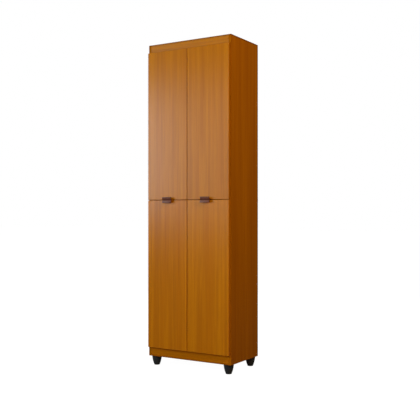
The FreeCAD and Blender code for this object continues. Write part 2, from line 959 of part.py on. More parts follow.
def build():
    os.makedirs("parts", exist_ok=True)
    holes = fixing_holes() + nail_holes()

    # Carcass
    for side in SIDES:
        save(side + "_side_panel", [side_panel(side, holes)])
    save("top_panel", [end_panel(carcass_top - board_thickness, holes)])
    save("base_panel", [end_panel(carcass_bottom, holes + foot_screw_holes())])
    save("middle_panel", [middle_panel(holes)])
    save("top_rail", [rail(carcass_top - top_band - rail_behind_door, carcass_top, holes)])
    save("plinth_rail", [rail(carcass_bottom, carcass_bottom + plinth_band + rail_behind_door, holes)])
    web = strip_thickness / 2
    save("upper_back_panel", [back_panel(middle_level + web, carcass_top - back_reveal, holes)])
    save("lower_back_panel", [back_panel(carcass_bottom + back_reveal, middle_level - web, holes)])
    save("back_joint_strip", [back_joint_strip()])
    save("assembly_screws", assembly_screws())
    save("screw_caps", screw_caps())
    save("dowels", dowels())
    save("back_nails", back_nails())

    # Shelves
    for level in compartments:
        for place, bottom in zip(("first", "second"), shelf_bottoms(level)):
            save(level + "_" + place + "_shelf", [shelf(bottom)])
    save("shelf_supports", shelf_supports())

    # Feet
    for name, (x, y) in foot_places().items():
        save(name + "_foot", [foot(x, y)])
    save("foot_screws", foot_screws())

    # Hinges
    for level, side, end, height in all_hinges():
        name = level + "_" + side + "_" + end + "_hinge"
        save(name + "_arm", [at_hinge(hinge_arm(), side, height)])
        save(name + "_cup", [at_hinge(hinge_cup(), side, height)])
    save("hinge_plates", [at_hinge(hinge_plate(), side, height) for _, side, _, height in all_hinges()])
    save("hinge_pins", [at_hinge(hinge_pin(), side, height) for _, side, _, height in all_hinges()])
    save("hinge_screws", [
        at_hinge(screw, side, height)
        for _, side, _, height in all_hinges()
        for screw in plate_screws()
    ])

    # Doors, with what each carries
    for level in door_bottoms:
        for side in SIDES:
            name = level + "_" + side
            heights = hinge_heights(level).values()
            save(name + "_door", [door(level, side)])
            save(name + "_pull", [pull(level, side)])
            save(name + "_pull_screws", pull_screws(level, side))
            save(name + "_cup_screws", [
                at_hinge(screw, side, height) for height in heights for screw in cup_screws()
            ])
    save("door_bumpers", door_bumpers())


build()
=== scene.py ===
# %% [markdown]
# # A tall cabinet of honey-coloured laminate
#
# The cabinet stands on four black plastic feet and has four flat doors, two above two. Its boards, hinges
# and screws were drawn in CAD at their real size, so this lesson only dresses them: it gives every board its
# wood print, every metal its polish, and makes again in finer detail the small pieces that a plain CAD mesh
# shows too simply, such as screws with threads and nails that were driven in by hand.
#
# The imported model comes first. Everything after it is measured from it, in metres.

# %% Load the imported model
import math
import random

import bmesh
import bpy
from mathutils import Matrix, Vector


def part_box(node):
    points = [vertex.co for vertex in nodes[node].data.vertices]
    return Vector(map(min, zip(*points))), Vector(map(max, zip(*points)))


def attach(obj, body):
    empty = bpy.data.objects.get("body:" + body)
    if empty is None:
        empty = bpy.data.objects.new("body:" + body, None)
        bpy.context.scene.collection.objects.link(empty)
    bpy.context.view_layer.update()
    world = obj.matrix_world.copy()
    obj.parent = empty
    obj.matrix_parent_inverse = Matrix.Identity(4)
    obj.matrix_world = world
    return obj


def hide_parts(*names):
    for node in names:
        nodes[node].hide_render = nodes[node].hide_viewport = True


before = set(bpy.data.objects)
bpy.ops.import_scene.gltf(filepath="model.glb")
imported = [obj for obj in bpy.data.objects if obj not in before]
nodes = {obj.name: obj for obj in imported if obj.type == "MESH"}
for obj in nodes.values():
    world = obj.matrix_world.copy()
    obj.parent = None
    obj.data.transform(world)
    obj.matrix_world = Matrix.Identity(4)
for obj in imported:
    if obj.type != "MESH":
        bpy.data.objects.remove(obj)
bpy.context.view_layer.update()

# %% [markdown]
# ## Sizes
#
# CAD works in millimetres and Blender in metres. One factor turns the small sizes that this file needs into
# metres, so that each can be written the way a maker would say it.

# %% Units, directions and the seed for everything that varies
MM = 0.001
SEED = 7
rng = random.Random(SEED)
UP, DOWN, BACKWARDS = Vector((0, 0, 1)), Vector((0, 0, -1)), Vector((0, 1, 0))
AXES = {"x": (1, 0, 0), "y": (0, 1, 0), "z": (0, 0, 1)}
SIDES = ("left", "right")
door_names = [level + "_" + side for level in ("lower", "upper") for side in SIDES]
print("doors", door_names)

# %% [markdown]
# ## The camera
#
# The picture was taken a little below the middle of the cabinet, from its right front. The camera is level,
# because the upright edges are parallel in the picture. Its place and its focal length were solved from the
# corners of the cabinet, whose real places are known.

# %% Camera
camera_place = (2.2257, -3.5523, 0.880)
camera_turn = math.radians(31.423)
camera_lens_mm = 62.13
sensor_mm = 36
frame_pixels = 420
horizon_below_middle_pixels = 3.3

camera_data = bpy.data.cameras.new("camera")
camera_data.lens = camera_lens_mm
camera_data.sensor_width = sensor_mm
camera_data.shift_y = horizon_below_middle_pixels / frame_pixels
camera = bpy.data.objects.new("camera", camera_data)
camera.location = camera_place
camera.rotation_euler = (math.radians(90), 0, camera_turn)
bpy.context.scene.collection.objects.link(camera)
bpy.context.scene.camera = camera
bpy.context.scene.view_settings.view_transform = "Standard"
print("camera", camera_place, "lens", camera_lens_mm)

# %% [markdown]
# ## Node helpers
#
# Both shader trees and Geometry Nodes trees are drawn with the same few helpers. `add` makes a node, sets its
# options and fills its sockets with a value, with another node, or with one of its outputs. The rest are the
# sums, ranges and mixes that every mask needs, each in one short call.

# %% Helpers that draw nodes
def fill(tree, socket, value):
    """Links a socket to an output, a node or a list of them, or sets it to a plain value."""
    if isinstance(value, list):
        for each in value:
            fill(tree, socket, each)
    elif isinstance(value, bpy.types.Node):
        tree.links.new(value.outputs[0], socket)
    elif isinstance(value, bpy.types.NodeSocket):
        tree.links.new(value, socket)
    else:
        socket.default_value = value


def add(tree, kind, sockets=None, **options):
    """A new node with its options set and its sockets linked or filled."""
    node = tree.nodes.new(kind)
    for option, value in options.items():
        setattr(node, option, value)
    for key, value in (sockets or {}).items():
        fill(tree, node.inputs[key], value)
    return node


def calc(tree, operation, *values):
    """The output of a Math node."""
    return add(tree, "ShaderNodeMath", dict(enumerate(values)), operation=operation).outputs[0]


def times(tree, first, second):
    return calc(tree, "MULTIPLY", first, second)


def least(tree, first, *others):
    """The least of several values."""
    for other in others:
        first = calc(tree, "MINIMUM", first, other)
    return first


def vector_calc(tree, operation, *values):
    """The output of a Vector Math node: a value for a dot product or a length, otherwise a vector."""
    node = add(tree, "ShaderNodeVectorMath", dict(enumerate(values)), operation=operation)
    return node.outputs["Value" if operation in ("DOT_PRODUCT", "LENGTH") else "Vector"]


def scaled(tree, vector, by):
    """A vector times another, part by part."""
    return vector_calc(tree, "MULTIPLY", vector, by)


def parts(tree, vector):
    """The X, Y and Z of a vector."""
    return add(tree, "ShaderNodeSeparateXYZ", {0: vector}).outputs


def vector_of(tree, x=0.0, y=0.0, z=0.0):
    """A vector made of three values."""
    return add(tree, "ShaderNodeCombineXYZ", {0: x, 1: y, 2: z}).outputs[0]


def spread(tree, value, low, high, to_low=0.0, to_high=1.0, kind="SMOOTHSTEP"):
    """A value carried from one range to another, with soft ends."""
    sockets = {"Value": value, "From Min": low, "From Max": high, "To Min": to_low, "To Max": to_high}
    return add(tree, "ShaderNodeMapRange", sockets, interpolation_type=kind).outputs["Result"]


def blend(tree, factor, first, second, kind="MIX"):
    """Two colours mixed by a factor."""
    node = add(tree, "ShaderNodeMix", data_type="RGBA", blend_type=kind)
    by_identifier = {socket.identifier: socket for socket in node.inputs}
    for key, value in {"Factor_Float": factor, "A_Color": first, "B_Color": second}.items():
        fill(tree, by_identifier[key], value)
    return next(socket for socket in node.outputs if socket.identifier == "Result_Color")


def noise(tree, place, scale=1.0, detail=2.0, roughness=0.5, distortion=0.0):
    """A noise texture's value."""
    sockets = {"Vector": place, "Scale": scale, "Detail": detail, "Roughness": roughness,
               "Distortion": distortion}
    return add(tree, "ShaderNodeTexNoise", sockets).outputs["Fac"]


print("node helpers ready")

# %% [markdown]
# ## Groups
#
# An effect that several trees share is a node group. `make_group` takes its inputs with their usual values,
# or the name of a kind of socket where there is none, and a function that draws the group and gives back its
# outputs by name. `use` places a group in a material, with this material's own values.

# %% Helpers for groups
INPUT_KINDS = {int: "Int", float: "Float", tuple: "Vector"}
OUTPUT_KINDS = {"VALUE": "Float", "VECTOR": "Vector", "RGBA": "Color", "GEOMETRY": "Geometry"}


def make_group(name, kind, inputs, draw):
    """A node group with named sockets, drawn by a function of the tree and its inputs."""
    group = bpy.data.node_groups.new(name, kind)
    for label, usual in inputs.items():
        has_value = not isinstance(usual, str)
        socket_kind = INPUT_KINDS[type(usual)] if has_value else usual
        socket = group.interface.new_socket(label, in_out="INPUT", socket_type="NodeSocket" + socket_kind)
        if has_value:
            socket.default_value = usual
    drawn = draw(group, group.nodes.new("NodeGroupInput").outputs)
    for label, made in drawn.items():
        made = made.outputs[0] if isinstance(made, bpy.types.Node) else made
        socket_type = "NodeSocket" + OUTPUT_KINDS[made.type]
        group.interface.new_socket(label, in_out="OUTPUT", socket_type=socket_type)
    end = group.nodes.new("NodeGroupOutput")
    for label, made in drawn.items():
        fill(group, end.inputs[label], made)
    print("group", name, "with", [item.name for item in group.interface.items_tree])
    return group


def spoken(key):
    """A socket's label, from the keyword that stands for it in a call."""
    return key.replace("_", " ").capitalize()


def use(tree, group, **sockets):
    """The outputs of a shader group placed in a material."""
    filled = {spoken(key): value for key, value in sockets.items()}
    return add(tree, "ShaderNodeGroup", filled, node_tree=group).outputs


print("groups can be made")

# %% [markdown]
# ## Finishes
#
# A finish starts from the same three things: a new material, its Principled BSDF, and the Object coordinates
# that all its patterns read. Every number that is the same all over the surface is set on the shader's own
# socket. The two ranges are where soft noise turns a colour and where it turns the gloss.

# %% A new finish
tint_range, gloss_range = (0.35, 0.70), (0.30, 0.75)


def new_finish(name, **constants):
    """A material, its tree, its shader's inputs and the place on the object."""
    material = bpy.data.materials.new(name)
    material.use_nodes = True
    tree = material.node_tree
    surface = tree.nodes["Principled BSDF"].inputs
    for key, value in constants.items():
        surface[key.replace("_", " ")].default_value = value
    place = tree.nodes.new("ShaderNodeTexCoord").outputs["Object"]
    return material, tree, surface, place


def raise_bumps(tree, surface, height, distance, strength):
    """Height in the pattern, as fine relief on the surface."""
    bump = add(tree, "ShaderNodeBump", {"Strength": strength, "Distance": distance, "Height": height})
    fill(tree, surface["Normal"], bump)


print("finishes can be made")

# %% [markdown]
# ## The studio
#
# The cabinet stands on white. The picture shows three things about its light: the doors are evenly lit, they
# have a soft pale sheen in their upper half, which is stronger on the left door, and the side is about half
# as bright as the front and warmer. Two softboxes nearly in front give the doors most of their light, the
# lower one a warm red. Two at the front left are what the doors mirror, so their height and their right edges
# were worked out by following the camera's rays off the doors. A warm one at the right gives the side its
# light. The one behind keeps the back from going black in other views, and nothing mirrors it, because an
# open door that is seen along its face would glare.
#
# The white itself comes from the world and from the floor's glow. Only rays from the camera, and those that a
# mirror or glass sends on, see it, so it doesn't wash the wood out. In a mirror the studio is pale behind the
# cabinet and at the left, and dim elsewhere. The lower doors mirror the dim part.

# %% World
WHITE = (1, 1, 1, 1)
world_light = 0.066
world_colour = (1.0, 0.864, 0.727, 1)
dim_room, pale_room = 0.03, 0.6
sky_fade = {"front": -0.35, "back": 0.15, "left": -0.10, "right": 0.45}
world = bpy.data.worlds.new("studio_white")
bpy.context.scene.world = world
world.use_nodes = True
world.node_tree.nodes.clear()


def seen_directly(tree):
    """1 for rays from the camera, and those that a mirror or glass sends on, else 0."""
    path = tree.nodes.new("ShaderNodeLightPath").outputs
    glossy_or_camera = calc(tree, "MAXIMUM", path["Is Camera Ray"], path["Is Glossy Ray"])
    return calc(tree, "MAXIMUM", glossy_or_camera, path["Is Transmission Ray"])


def whiteness_from(tree, place, front, back, left, right):
    """How white the studio is: all round for the camera, and pale behind and at the left for a mirror."""
    x, y, z = parts(tree, place)
    behind = spread(tree, y, front, back)
    at_left = spread(tree, x, left, right, 1.0, 0.0)
    mirrored = spread(tree, times(tree, behind, at_left), 0.0, 1.0, dim_room, pale_room, "LINEAR")
    camera_ray = tree.nodes.new("ShaderNodeLightPath").outputs["Is Camera Ray"]
    return calc(tree, "MAXIMUM", mirrored, camera_ray)


def paint_world(tree):
    """The white studio for the rays that show it, and a little light for all others."""
    ray = tree.nodes.new("ShaderNodeTexCoord").outputs["Generated"]
    whiteness = whiteness_from(tree, ray, **sky_fade)
    white = add(tree, "ShaderNodeBackground", {"Color": WHITE, "Strength": whiteness})
    light = add(tree, "ShaderNodeBackground", {"Color": world_colour, "Strength": world_light})
    mixed = add(tree, "ShaderNodeMixShader", {0: seen_directly(tree), 1: light, 2: white})
    add(tree, "ShaderNodeOutputWorld", {"Surface": mixed})


paint_world(world.node_tree)
print("world light", world_light)

# %% Floor
floor_half = 30.0
floor_colour = (0.12, 0.12, 0.12, 1)
glow_reach = (0.4, 1.8)
floor_glow_near, floor_glow_far = 0.985, 1.0
floor_fade = {"front": -0.6, "back": 0.6, "left": -0.2, "right": 0.3}

floor_mesh = bpy.data.meshes.new("floor")
corners = [(x * floor_half, y * floor_half, 0) for x, y in ((-1, -1), (1, -1), (1, 1), (-1, 1))]
floor_mesh.from_pydata(corners, [], [(0, 1, 2, 3)])
floor = bpy.data.objects.new("floor", floor_mesh)
bpy.context.scene.collection.objects.link(floor)


def paint_floor():
    """Grey paper that the camera sees lifted to white, and that still takes the object's shadow."""
    material, tree, surface, place = new_finish(
        "floor_paper", Base_Color=floor_colour, Roughness=0.9, Specular_IOR_Level=0.0, Emission_Color=WHITE,
    )
    away = vector_calc(tree, "LENGTH", place)
    glow = spread(tree, away, *glow_reach, floor_glow_near, floor_glow_far)
    shown = times(tree, glow, whiteness_from(tree, place, **floor_fade))
    fill(tree, surface["Emission Strength"], times(tree, seen_directly(tree), shown))
    return material


floor_mesh.materials.append(paint_floor())
print("floor", 2 * floor_half, "m wide")

# %% [markdown]
# Each lamp's line gives its place, the point that it faces, its width and height in metres, its watts and its
# colour.

# %% Lamps
def softbox(name, place, target, width, height, watts, colour):
    """A rectangular area lamp that faces a point, and that the camera doesn't see."""
    lamp = bpy.data.lights.new(name, "AREA")
    lamp.shape = "RECTANGLE"
    lamp.size, lamp.size_y = width, height
    lamp.energy = watts
    lamp.color = colour
    box = bpy.data.objects.new(name, lamp)
    box.location = place
    box.rotation_euler = (Vector(target) - Vector(place)).to_track_quat("-Z", "Y").to_euler()
    box.visible_camera = False
    bpy.context.scene.collection.objects.link(box)


door_middle, side_middle, back_middle = (0.0, -0.15, 1.30), (0.27, 0.0, 1.50), (0.0, 0.17, 1.10)
lamps = {
    "front_high": ((1.2, -3.4, 1.95), door_middle, 1.2, 1.2, 28.9, (0.85, 1.0, 0.82)),
    "front_low": ((1.5, -3.2, 0.55), door_middle, 0.9, 0.9, 20.1, (1.0, 0.39, 0.33)),
    "wide_left": ((-1.75, -2.75, 1.47), door_middle, 2.6, 1.42, 33.2, (0.84, 1.0, 0.93)),
    "strong_left": ((-2.45, -2.60, 1.50), door_middle, 0.9, 1.20, 28.6, (0.83, 0.90, 1.0)),
    "warm_right": ((2.7, -1.3, 2.7), side_middle, 1.4, 1.4, 67, (1.0, 0.69, 0.30)),
    "behind": ((-0.8, 3.4, 1.9), back_middle, 2.4, 1.6, 95, (1.0, 1.0, 1.0)),
}
for name, lamp in lamps.items():
    softbox(name, *lamp)
bpy.data.objects["behind"].visible_glossy = False
print("lamps", list(lamps))

# %% [markdown]
# ## Where on the board are we?
#
# A laminated board isn't one material. Its broad faces are printed paper under a satin film. Its narrow edges
# are covered by a strip of edge band that was glued on and trimmed. A drilled hole shows the chips inside.
#
# All three can be told apart by distance. In the board's box, a point that lies close to a narrow side is on
# the edge band, and a point that lies deep below every side is in a hole. So this group takes the board's two
# corners and gives out masks, and one tree serves every board in the cabinet.
#
# Two more masks paint light and shade into the colour. A rim is the outermost strip of a broad face: a
# painted highlight on the doors, where their rounded edges catch the light, and painted shade on the sides,
# the top and the rails. It runs along the sides that `Rim way` crosses, the first at `Rim corner` and the
# second a `Rim span` further on, and along the top where `Top rim` is 1. `Painted gap shade` is the strip of
# a door within `Meeting` of the cabinet's middle, painted darker for the shade in the gap where the doors
# meet.

# %% Group: zones of a board
seam_width = 0.25 * MM
hole_depths = (0.5 * MM, 0.6 * MM)


def draw_board_zones(tree, at):
    from_low = vector_calc(tree, "SUBTRACT", at["Place"], at["Low corner"])
    from_high = vector_calc(tree, "SUBTRACT", at["High corner"], at["Place"])
    nearest = vector_calc(tree, "MINIMUM", from_low, from_high)
    to_narrow = least(tree, *parts(tree, vector_calc(tree, "ADD", nearest, at["Thin way"])))
    to_broad = vector_calc(tree, "DOT_PRODUCT", nearest, at["Thin way"])
    depth = least(tree, to_narrow, to_broad)

    from_rim_corner = vector_calc(tree, "SUBTRACT", at["Place"], at["Rim corner"])
    from_first = vector_calc(tree, "DOT_PRODUCT", from_rim_corner, at["Rim way"])
    from_second = calc(tree, "SUBTRACT", at["Rim span"], from_first)
    from_top = calc(tree, "ADD", parts(tree, from_high)["Z"], calc(tree, "SUBTRACT", 1.0, at["Top rim"]))
    to_rim = least(tree, from_first, from_second, from_top)
    to_corner = calc(tree, "MAXIMUM", to_rim, to_broad)

    past_band = calc(tree, "GREATER_THAN", to_narrow, at["Band"])
    in_seam = calc(tree, "LESS_THAN", to_narrow, calc(tree, "ADD", at["Band"], seam_width))
    from_middle = calc(tree, "ABSOLUTE", parts(tree, at["Place"])["X"])
    # The last two masks paint light and shade: the rim, and the shade where the doors meet.
    return {
        "Edge band": calc(tree, "LESS_THAN", to_narrow, at["Band"]),
        "Seam": times(tree, past_band, in_seam),
        "Inside": spread(tree, depth, *hole_depths),
        "Painted rim": spread(tree, to_corner, 0.0, at["Soft"], 1.0, 0.0),
        "Painted gap shade": calc(tree, "LESS_THAN", from_middle, at["Meeting"]),
    }


board_zones = make_group("Board zones", "ShaderNodeTree", {
    "Place": "Vector",
    "Low corner": "Vector",
    "High corner": "Vector",
    "Thin way": AXES["y"],
    "Rim corner": "Vector",
    "Rim way": AXES["x"],
    "Rim span": 1.0,
    "Top rim": 0.0,
    "Meeting": 0.0,
    "Band": 0.9 * MM,
    "Soft": 3 * MM,
}, draw_board_zones)

# %% [markdown]
# ## Wood grain
#
# The print on the doors is straight grain with little contrast: soft bands about five centimetres wide,
# streaks of one to three centimetres, and fine fibres with short dark pores. Each is noise that is squeezed
# across the board and drawn out along it, so its two scales say how many of its spots a metre holds across
# and along. A faint flame, rings of a wave that is bent by noise, keeps the bands from looking ruled, and so
# does a slow wander of the whole print. The group gives out one value for each, and the boards, the dowels
# and the backs mix them in their own measure. Each noise is written as those two scales, and then its detail
# and its roughness where they aren't the usual ones.

# %% Group: grain
wander_noise, squeeze_noise = (3.0, 1.3), (26.0, 0.3)
band_noise, streak_noise = (18, 0.6, 2.0, 0.6), (40, 0.8, 6.0, 0.82)
fine_noise, pore_noise = (620, 7, 2.0, 0.65), (1500, 55, 1.0)
wander_reach, squeeze_reach = 0.009, 0.022
pore_range = (0.66, 0.74)
flame_draw = (7, 7, 0.45)
flame_wave = {"Scale": 0.8, "Distortion": 6.0, "Detail": 1.5, "Detail Scale": 2.4}


def draw_grain(tree, at):
    across = calc(tree, "DIVIDE", 1.0, at["Width"])
    place = scaled(tree, at["Place"], vector_of(tree, across, across, 1.0))

    def drawn_out(point, across, along, *quality):
        """Noise with its own scales across and along the grain."""
        return noise(tree, scaled(tree, point, (across, across, along)), 1.0, *quality)

    wander = times(tree, drawn_out(place, *wander_noise), wander_reach)
    squeeze = times(tree, drawn_out(place, *squeeze_noise), squeeze_reach)
    bent = vector_calc(tree, "ADD", place, vector_of(tree, calc(tree, "ADD", wander, squeeze)))
    sockets = {"Vector": scaled(tree, bent, flame_draw)} | flame_wave
    flame = add(tree, "ShaderNodeTexWave", sockets, wave_type="RINGS", rings_direction="Y")
    return {
        "Bands": drawn_out(bent, *band_noise),
        "Streaks": drawn_out(bent, *streak_noise),
        "Fibres": drawn_out(bent, *fine_noise),
        "Pores": spread(tree, drawn_out(bent, *pore_noise), *pore_range),
        "Flame": flame.outputs["Fac"],
    }


grain = make_group("Grain", "ShaderNodeTree", {"Place": "Vector", "Width": 1.0}, draw_grain)

# %% [markdown]
# ## Chips, moulded skin and worn metal
#
# Three more effects are shared. Chipboard is cells of pale and dark chips. Moulded plastic has a fine pebbled
# skin from the mould, soft clouds in its sheen, and small duller scuffs, which noise scatters over the piece.
# Metal has fine scratches that run two ways, and a few broad smudges.

# %% Group: chipboard
# The chips are darker than bare chipboard, which paints in the shade inside a drilled hole.
pale_chip, dark_chip = (0.34, 0.21, 0.09, 1), (0.14, 0.075, 0.028, 1)


def draw_chipboard(tree, at):
    scale = calc(tree, "DIVIDE", 1.0, at["Chip"])
    cells = add(tree, "ShaderNodeTexVoronoi", {"Vector": at["Place"], "Scale": scale}).outputs
    tone = add(tree, "ShaderNodeSeparateColor", {0: cells["Color"]})
    return {"Color": blend(tree, tone, dark_chip, pale_chip), "Height": cells["Distance"]}


chipboard = make_group("Chipboard", "ShaderNodeTree", {"Place": "Vector", "Chip": 1.6 * MM}, draw_chipboard)

# %% Group: moulded skin
cloud_noise, scuff_noise = (60.0, 3.0), (900.0, 4.0, 0.7, 0.4)
scuff_draw = (1, 1, 0.15)
scuff_range = (0.60, 0.72)


def draw_moulded_skin(tree, at):
    pebble_scale = calc(tree, "DIVIDE", 1.0, at["Pebble"])
    long_scuffs = noise(tree, scaled(tree, at["Place"], scuff_draw), *scuff_noise)
    return {
        "Height": noise(tree, at["Place"], pebble_scale),
        "Cloud": noise(tree, at["Place"], *cloud_noise),
        "Scuffs": spread(tree, long_scuffs, *scuff_range),
    }


moulded_skin = make_group(
    "Moulded skin", "ShaderNodeTree", {"Place": "Vector", "Pebble": 0.35 * MM}, draw_moulded_skin
)

# %% Group: worn metal
scratch_turns = ((0.3, 0.9, 0.2), (1.2, -0.4, 0.8))
scratch_draw = (1, 0.04, 1)
scratch_range = (0.30, 0.42)
smudge_noise = (45.0, 3.0, 0.6)


def draw_worn_metal(tree, at):
    fine = calc(tree, "DIVIDE", 1.0, at["Scratch"])
    lines = []
    for turn in scratch_turns:
        sockets = {"Vector": at["Place"], "Rotation": turn, "Scale": scratch_draw}
        lines.append(noise(tree, add(tree, "ShaderNodeMapping", sockets), fine))
    both = times(tree, *lines)
    return {
        "Scratches": spread(tree, both, *scratch_range),
        "Smudges": noise(tree, at["Place"], *smudge_noise),
        "Height": both,
    }


worn_metal = make_group(
    "Worn metal", "ShaderNodeTree", {"Place": "Vector", "Scratch": 0.25 * MM}, draw_worn_metal
)

# %% [markdown]
# ## Laminated boards
#
# Each board is cut from its own part of the print, so each gets its own shift of the pattern, its own slight
# change of tone, and its own corners for the zones. The way of the grain is the long way of the piece:
# upright on doors and sides, across on rails, panels and shelves. Turning the coordinates once lets the same
# grain group serve both.
#
# What doors, sides, rails and shelves look like is kept in one table for each kind: how the film shines, the
# tint and width of the rim, which is a painted highlight on the doors and painted shade on the sides, the top
# and the rails, how faint and how strong the dark streaks are, and the tint of the edge band.
# The streaks are calmer on the sides, which the picture shows foreshortened.

# %% Looks of the boards
wood_pale = (0.527, 0.198, 0.0018, 1)
wood_mid = (0.442, 0.152, 0.0010, 1)
wood_dark = (0.304, 0.099, 0.0004, 1)
# Painted shade in the gap where the doors meet.
painted_gap_shade_tint = (0.50, 0.36, 0.20, 1)
seam_tint = (0.45, 0.36, 0.30, 1)
# Painted shade along the rims of the sides, the top and the rails.
painted_rim_shade = (0.55, 0.52, 0.54, 1)

flame_share = 0.10
band_range, streak_range, fibre_range = (0.28, 0.72), (0.38, 0.64), (0.38, 0.80)
fibre_strength, pore_strength = 0.38, 0.40
edge_strength, seam_strength = 0.7, 0.8
film_noise, film_gloss, hole_dulling = (0.3, 0.7), (0.215, 0.275), 0.5
fibre_relief, hole_relief = 0.4, 4.0
film_depth, film_strength = 0.02 * MM, 0.6

plain_look = {
    "shine": 0.020, "rim": WHITE, "painted_rim_width": MM, "top_rim": 0.0, "streaks": (0.0, 0.56),
    "edge": (0.96, 0.93, 0.90, 1), "meeting": 0.0,
}
# On the doors the rim is a painted highlight along their upright edges.
door_look = plain_look | {
    "shine": 0.205, "rim": (1.16, 1.16, 1.25, 1), "painted_rim_width": 9 * MM, "edge": (0.74, 0.66, 0.60, 1),
    "meeting": 2.4 * MM,
}
side_look = plain_look | {"rim": painted_rim_shade, "painted_rim_width": 13 * MM, "top_rim": 1.0, "streaks": (0.10, 0.46)}
top_look = plain_look | {"rim": painted_rim_shade, "painted_rim_width": 9 * MM}
top_rail_look = plain_look | {"shine": 0.500, "rim": painted_rim_shade, "painted_rim_width": 14 * MM}
plinth_look = top_rail_look | {"shine": 0.080}
print("wood", wood_pale[:3], "to", wood_dark[:3])

# %% Laminate
print_reach = 5


def wood_print(tree, place, turn=(0, 0, 0)):
    """The grain on a part of the print that is picked at random, turned to run along the piece."""
    shift = tuple(rng.uniform(-print_reach, print_reach) for axis in AXES)
    spot = add(tree, "ShaderNodeMapping", {"Vector": place, "Location": shift, "Rotation": turn})
    return use(tree, grain, place=spot)


def laminate(node, look, thin, rim, upright, tone, warmth):
    """The finish of one board, from its look, its thin way, its rims and the way of its grain."""
    low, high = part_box(node)
    material, tree, surface, place = new_finish("laminate_" + node, Specular_IOR_Level=look["shine"])
    wood = wood_print(tree, place, (0, 0 if upright else math.radians(90), 0))
    rim_corner, rim_way = low, Vector(AXES[rim[-1]])
    span = (high - low).dot(rim_way)
    if rim.startswith("far "):
        rim_corner, rim_way, span = high, -rim_way, 2 * span
    zone = use(tree, board_zones, place=place, low_corner=low, high_corner=high, thin_way=AXES[thin],
               rim_corner=rim_corner, rim_way=rim_way, rim_span=span, soft=look["painted_rim_width"],
               top_rim=look["top_rim"], meeting=look["meeting"])

    bands, flame = times(tree, wood["Bands"], 1 - flame_share), times(tree, wood["Flame"], flame_share)
    base = blend(tree, spread(tree, calc(tree, "ADD", bands, flame), *band_range), wood_mid, wood_pale)
    streaks = spread(tree, wood["Streaks"], *streak_range, *look["streaks"])
    fibres = spread(tree, wood["Fibres"], *fibre_range, 0.0, fibre_strength)
    for darker in (streaks, fibres, times(tree, wood["Pores"], pore_strength)):
        base = blend(tree, darker, base, wood_dark)
    # The rim tint paints a highlight on the doors and shade on the sides, the top and the rails. The last
    # tint paints shade where the doors meet.
    tints = (
        (1.0, (tone, tone * warmth, tone * warmth * warmth, 1)),
        (times(tree, zone["Edge band"], edge_strength), look["edge"]),
        (times(tree, zone["Seam"], seam_strength), seam_tint),
        (zone["Painted rim"], look["rim"]),
        (zone["Painted gap shade"], painted_gap_shade_tint),
    )
    for mask, tint in tints:
        base = blend(tree, mask, base, tint, "MULTIPLY")
    chips = use(tree, chipboard, place=place)
    fill(tree, surface["Base Color"], blend(tree, zone["Inside"], base, chips["Color"]))

    gloss = spread(tree, wood["Streaks"], *film_noise, *film_gloss, "LINEAR")
    fill(tree, surface["Roughness"], calc(tree, "ADD", gloss, times(tree, zone["Inside"], hole_dulling)))
    relief = calc(tree, "SUBTRACT", times(tree, wood["Fibres"], fibre_relief), wood["Pores"])
    rough_hole = times(tree, chips["Height"], times(tree, zone["Inside"], hole_relief))
    raise_bumps(tree, surface, calc(tree, "ADD", relief, rough_hole), film_depth, film_strength)
    return material


def dress(node, material):
    """Gives a CAD node's own object its finish."""
    for slot in nodes[node].material_slots:
        slot.material = material


print("laminate can be made")

# %% [markdown]
# Each board's line gives its look, the axis across its thickness, the axis across its rims, whether its grain
# stands upright, its tone, and its warmth, which reddens the tone below 1. Where the rims' axis has the word
# far, only the side with the higher coordinate has a rim.

# %% Every board
boards = {
    "lower_left_door": (door_look, "y", "far x", True, 1.0, 0.955),
    "lower_right_door": (door_look, "y", "x", True, 1.015, 0.99),
    "upper_left_door": (door_look, "y", "far x", True, 1.0, 1.0),
    "upper_right_door": (door_look, "y", "x", True, 0.98, 1.0),
    # The sides' low tones and warmth are partly painted shade: they make the sides darker and redder than the
    # doors.
    "left_side_panel": (side_look, "x", "far y", True, 0.72, 0.96),
    "right_side_panel": (side_look, "x", "far y", True, 0.79, 0.92),
    "top_panel": (top_look, "z", "y", False, 0.90, 1.0),
    "base_panel": (plain_look, "z", "y", False, 0.88, 1.0),
    "middle_panel": (plain_look, "z", "y", False, 0.90, 1.0),
    "top_rail": (top_rail_look, "y", "z", False, 0.945, 1.018),
    "plinth_rail": (plinth_look, "y", "z", False, 0.955, 0.920),
    "lower_first_shelf": (plain_look, "z", "y", False, 1.02, 1.0),
    "lower_second_shelf": (plain_look, "z", "y", False, 0.98, 1.01),
    "upper_first_shelf": (plain_look, "z", "y", False, 1.0, 0.99),
    "upper_second_shelf": (plain_look, "z", "y", False, 1.03, 1.0),
}
for node, board in boards.items():
    dress(node, laminate(node, *board))
print("laminated boards", len(boards))

# %% [markdown]
# ## The other finishes
#
# The backs are hardboard: printed like the boards on the face that looks into the cabinet, and raw brown on
# the face that looks to the wall, where the press leaves the dints of its wire screen. The zones can't tell
# those two apart, but the depth can, so this material compares a point's Y with the front of the sheet.

# %% Hardboard backs
raw_board_pale = (0.270, 0.150, 0.070, 1)
raw_board_dark = (0.150, 0.075, 0.032, 1)
printed_depth = 0.8 * MM
back_streaks, back_gloss = (0.35, 0.85, 0.0, 0.5), (0.42, 0.82)
fibre_noise, patch_noise, patch_share = (900.0, 4.0, 0.7), (9.0, 3.0, 0.6), (0.40, 0.75, 0.0, 0.45)
screen_pitch, screen_depth, screen_strength, raw_fibre_relief = 1.4 * MM, 0.10 * MM, 0.7, 0.5


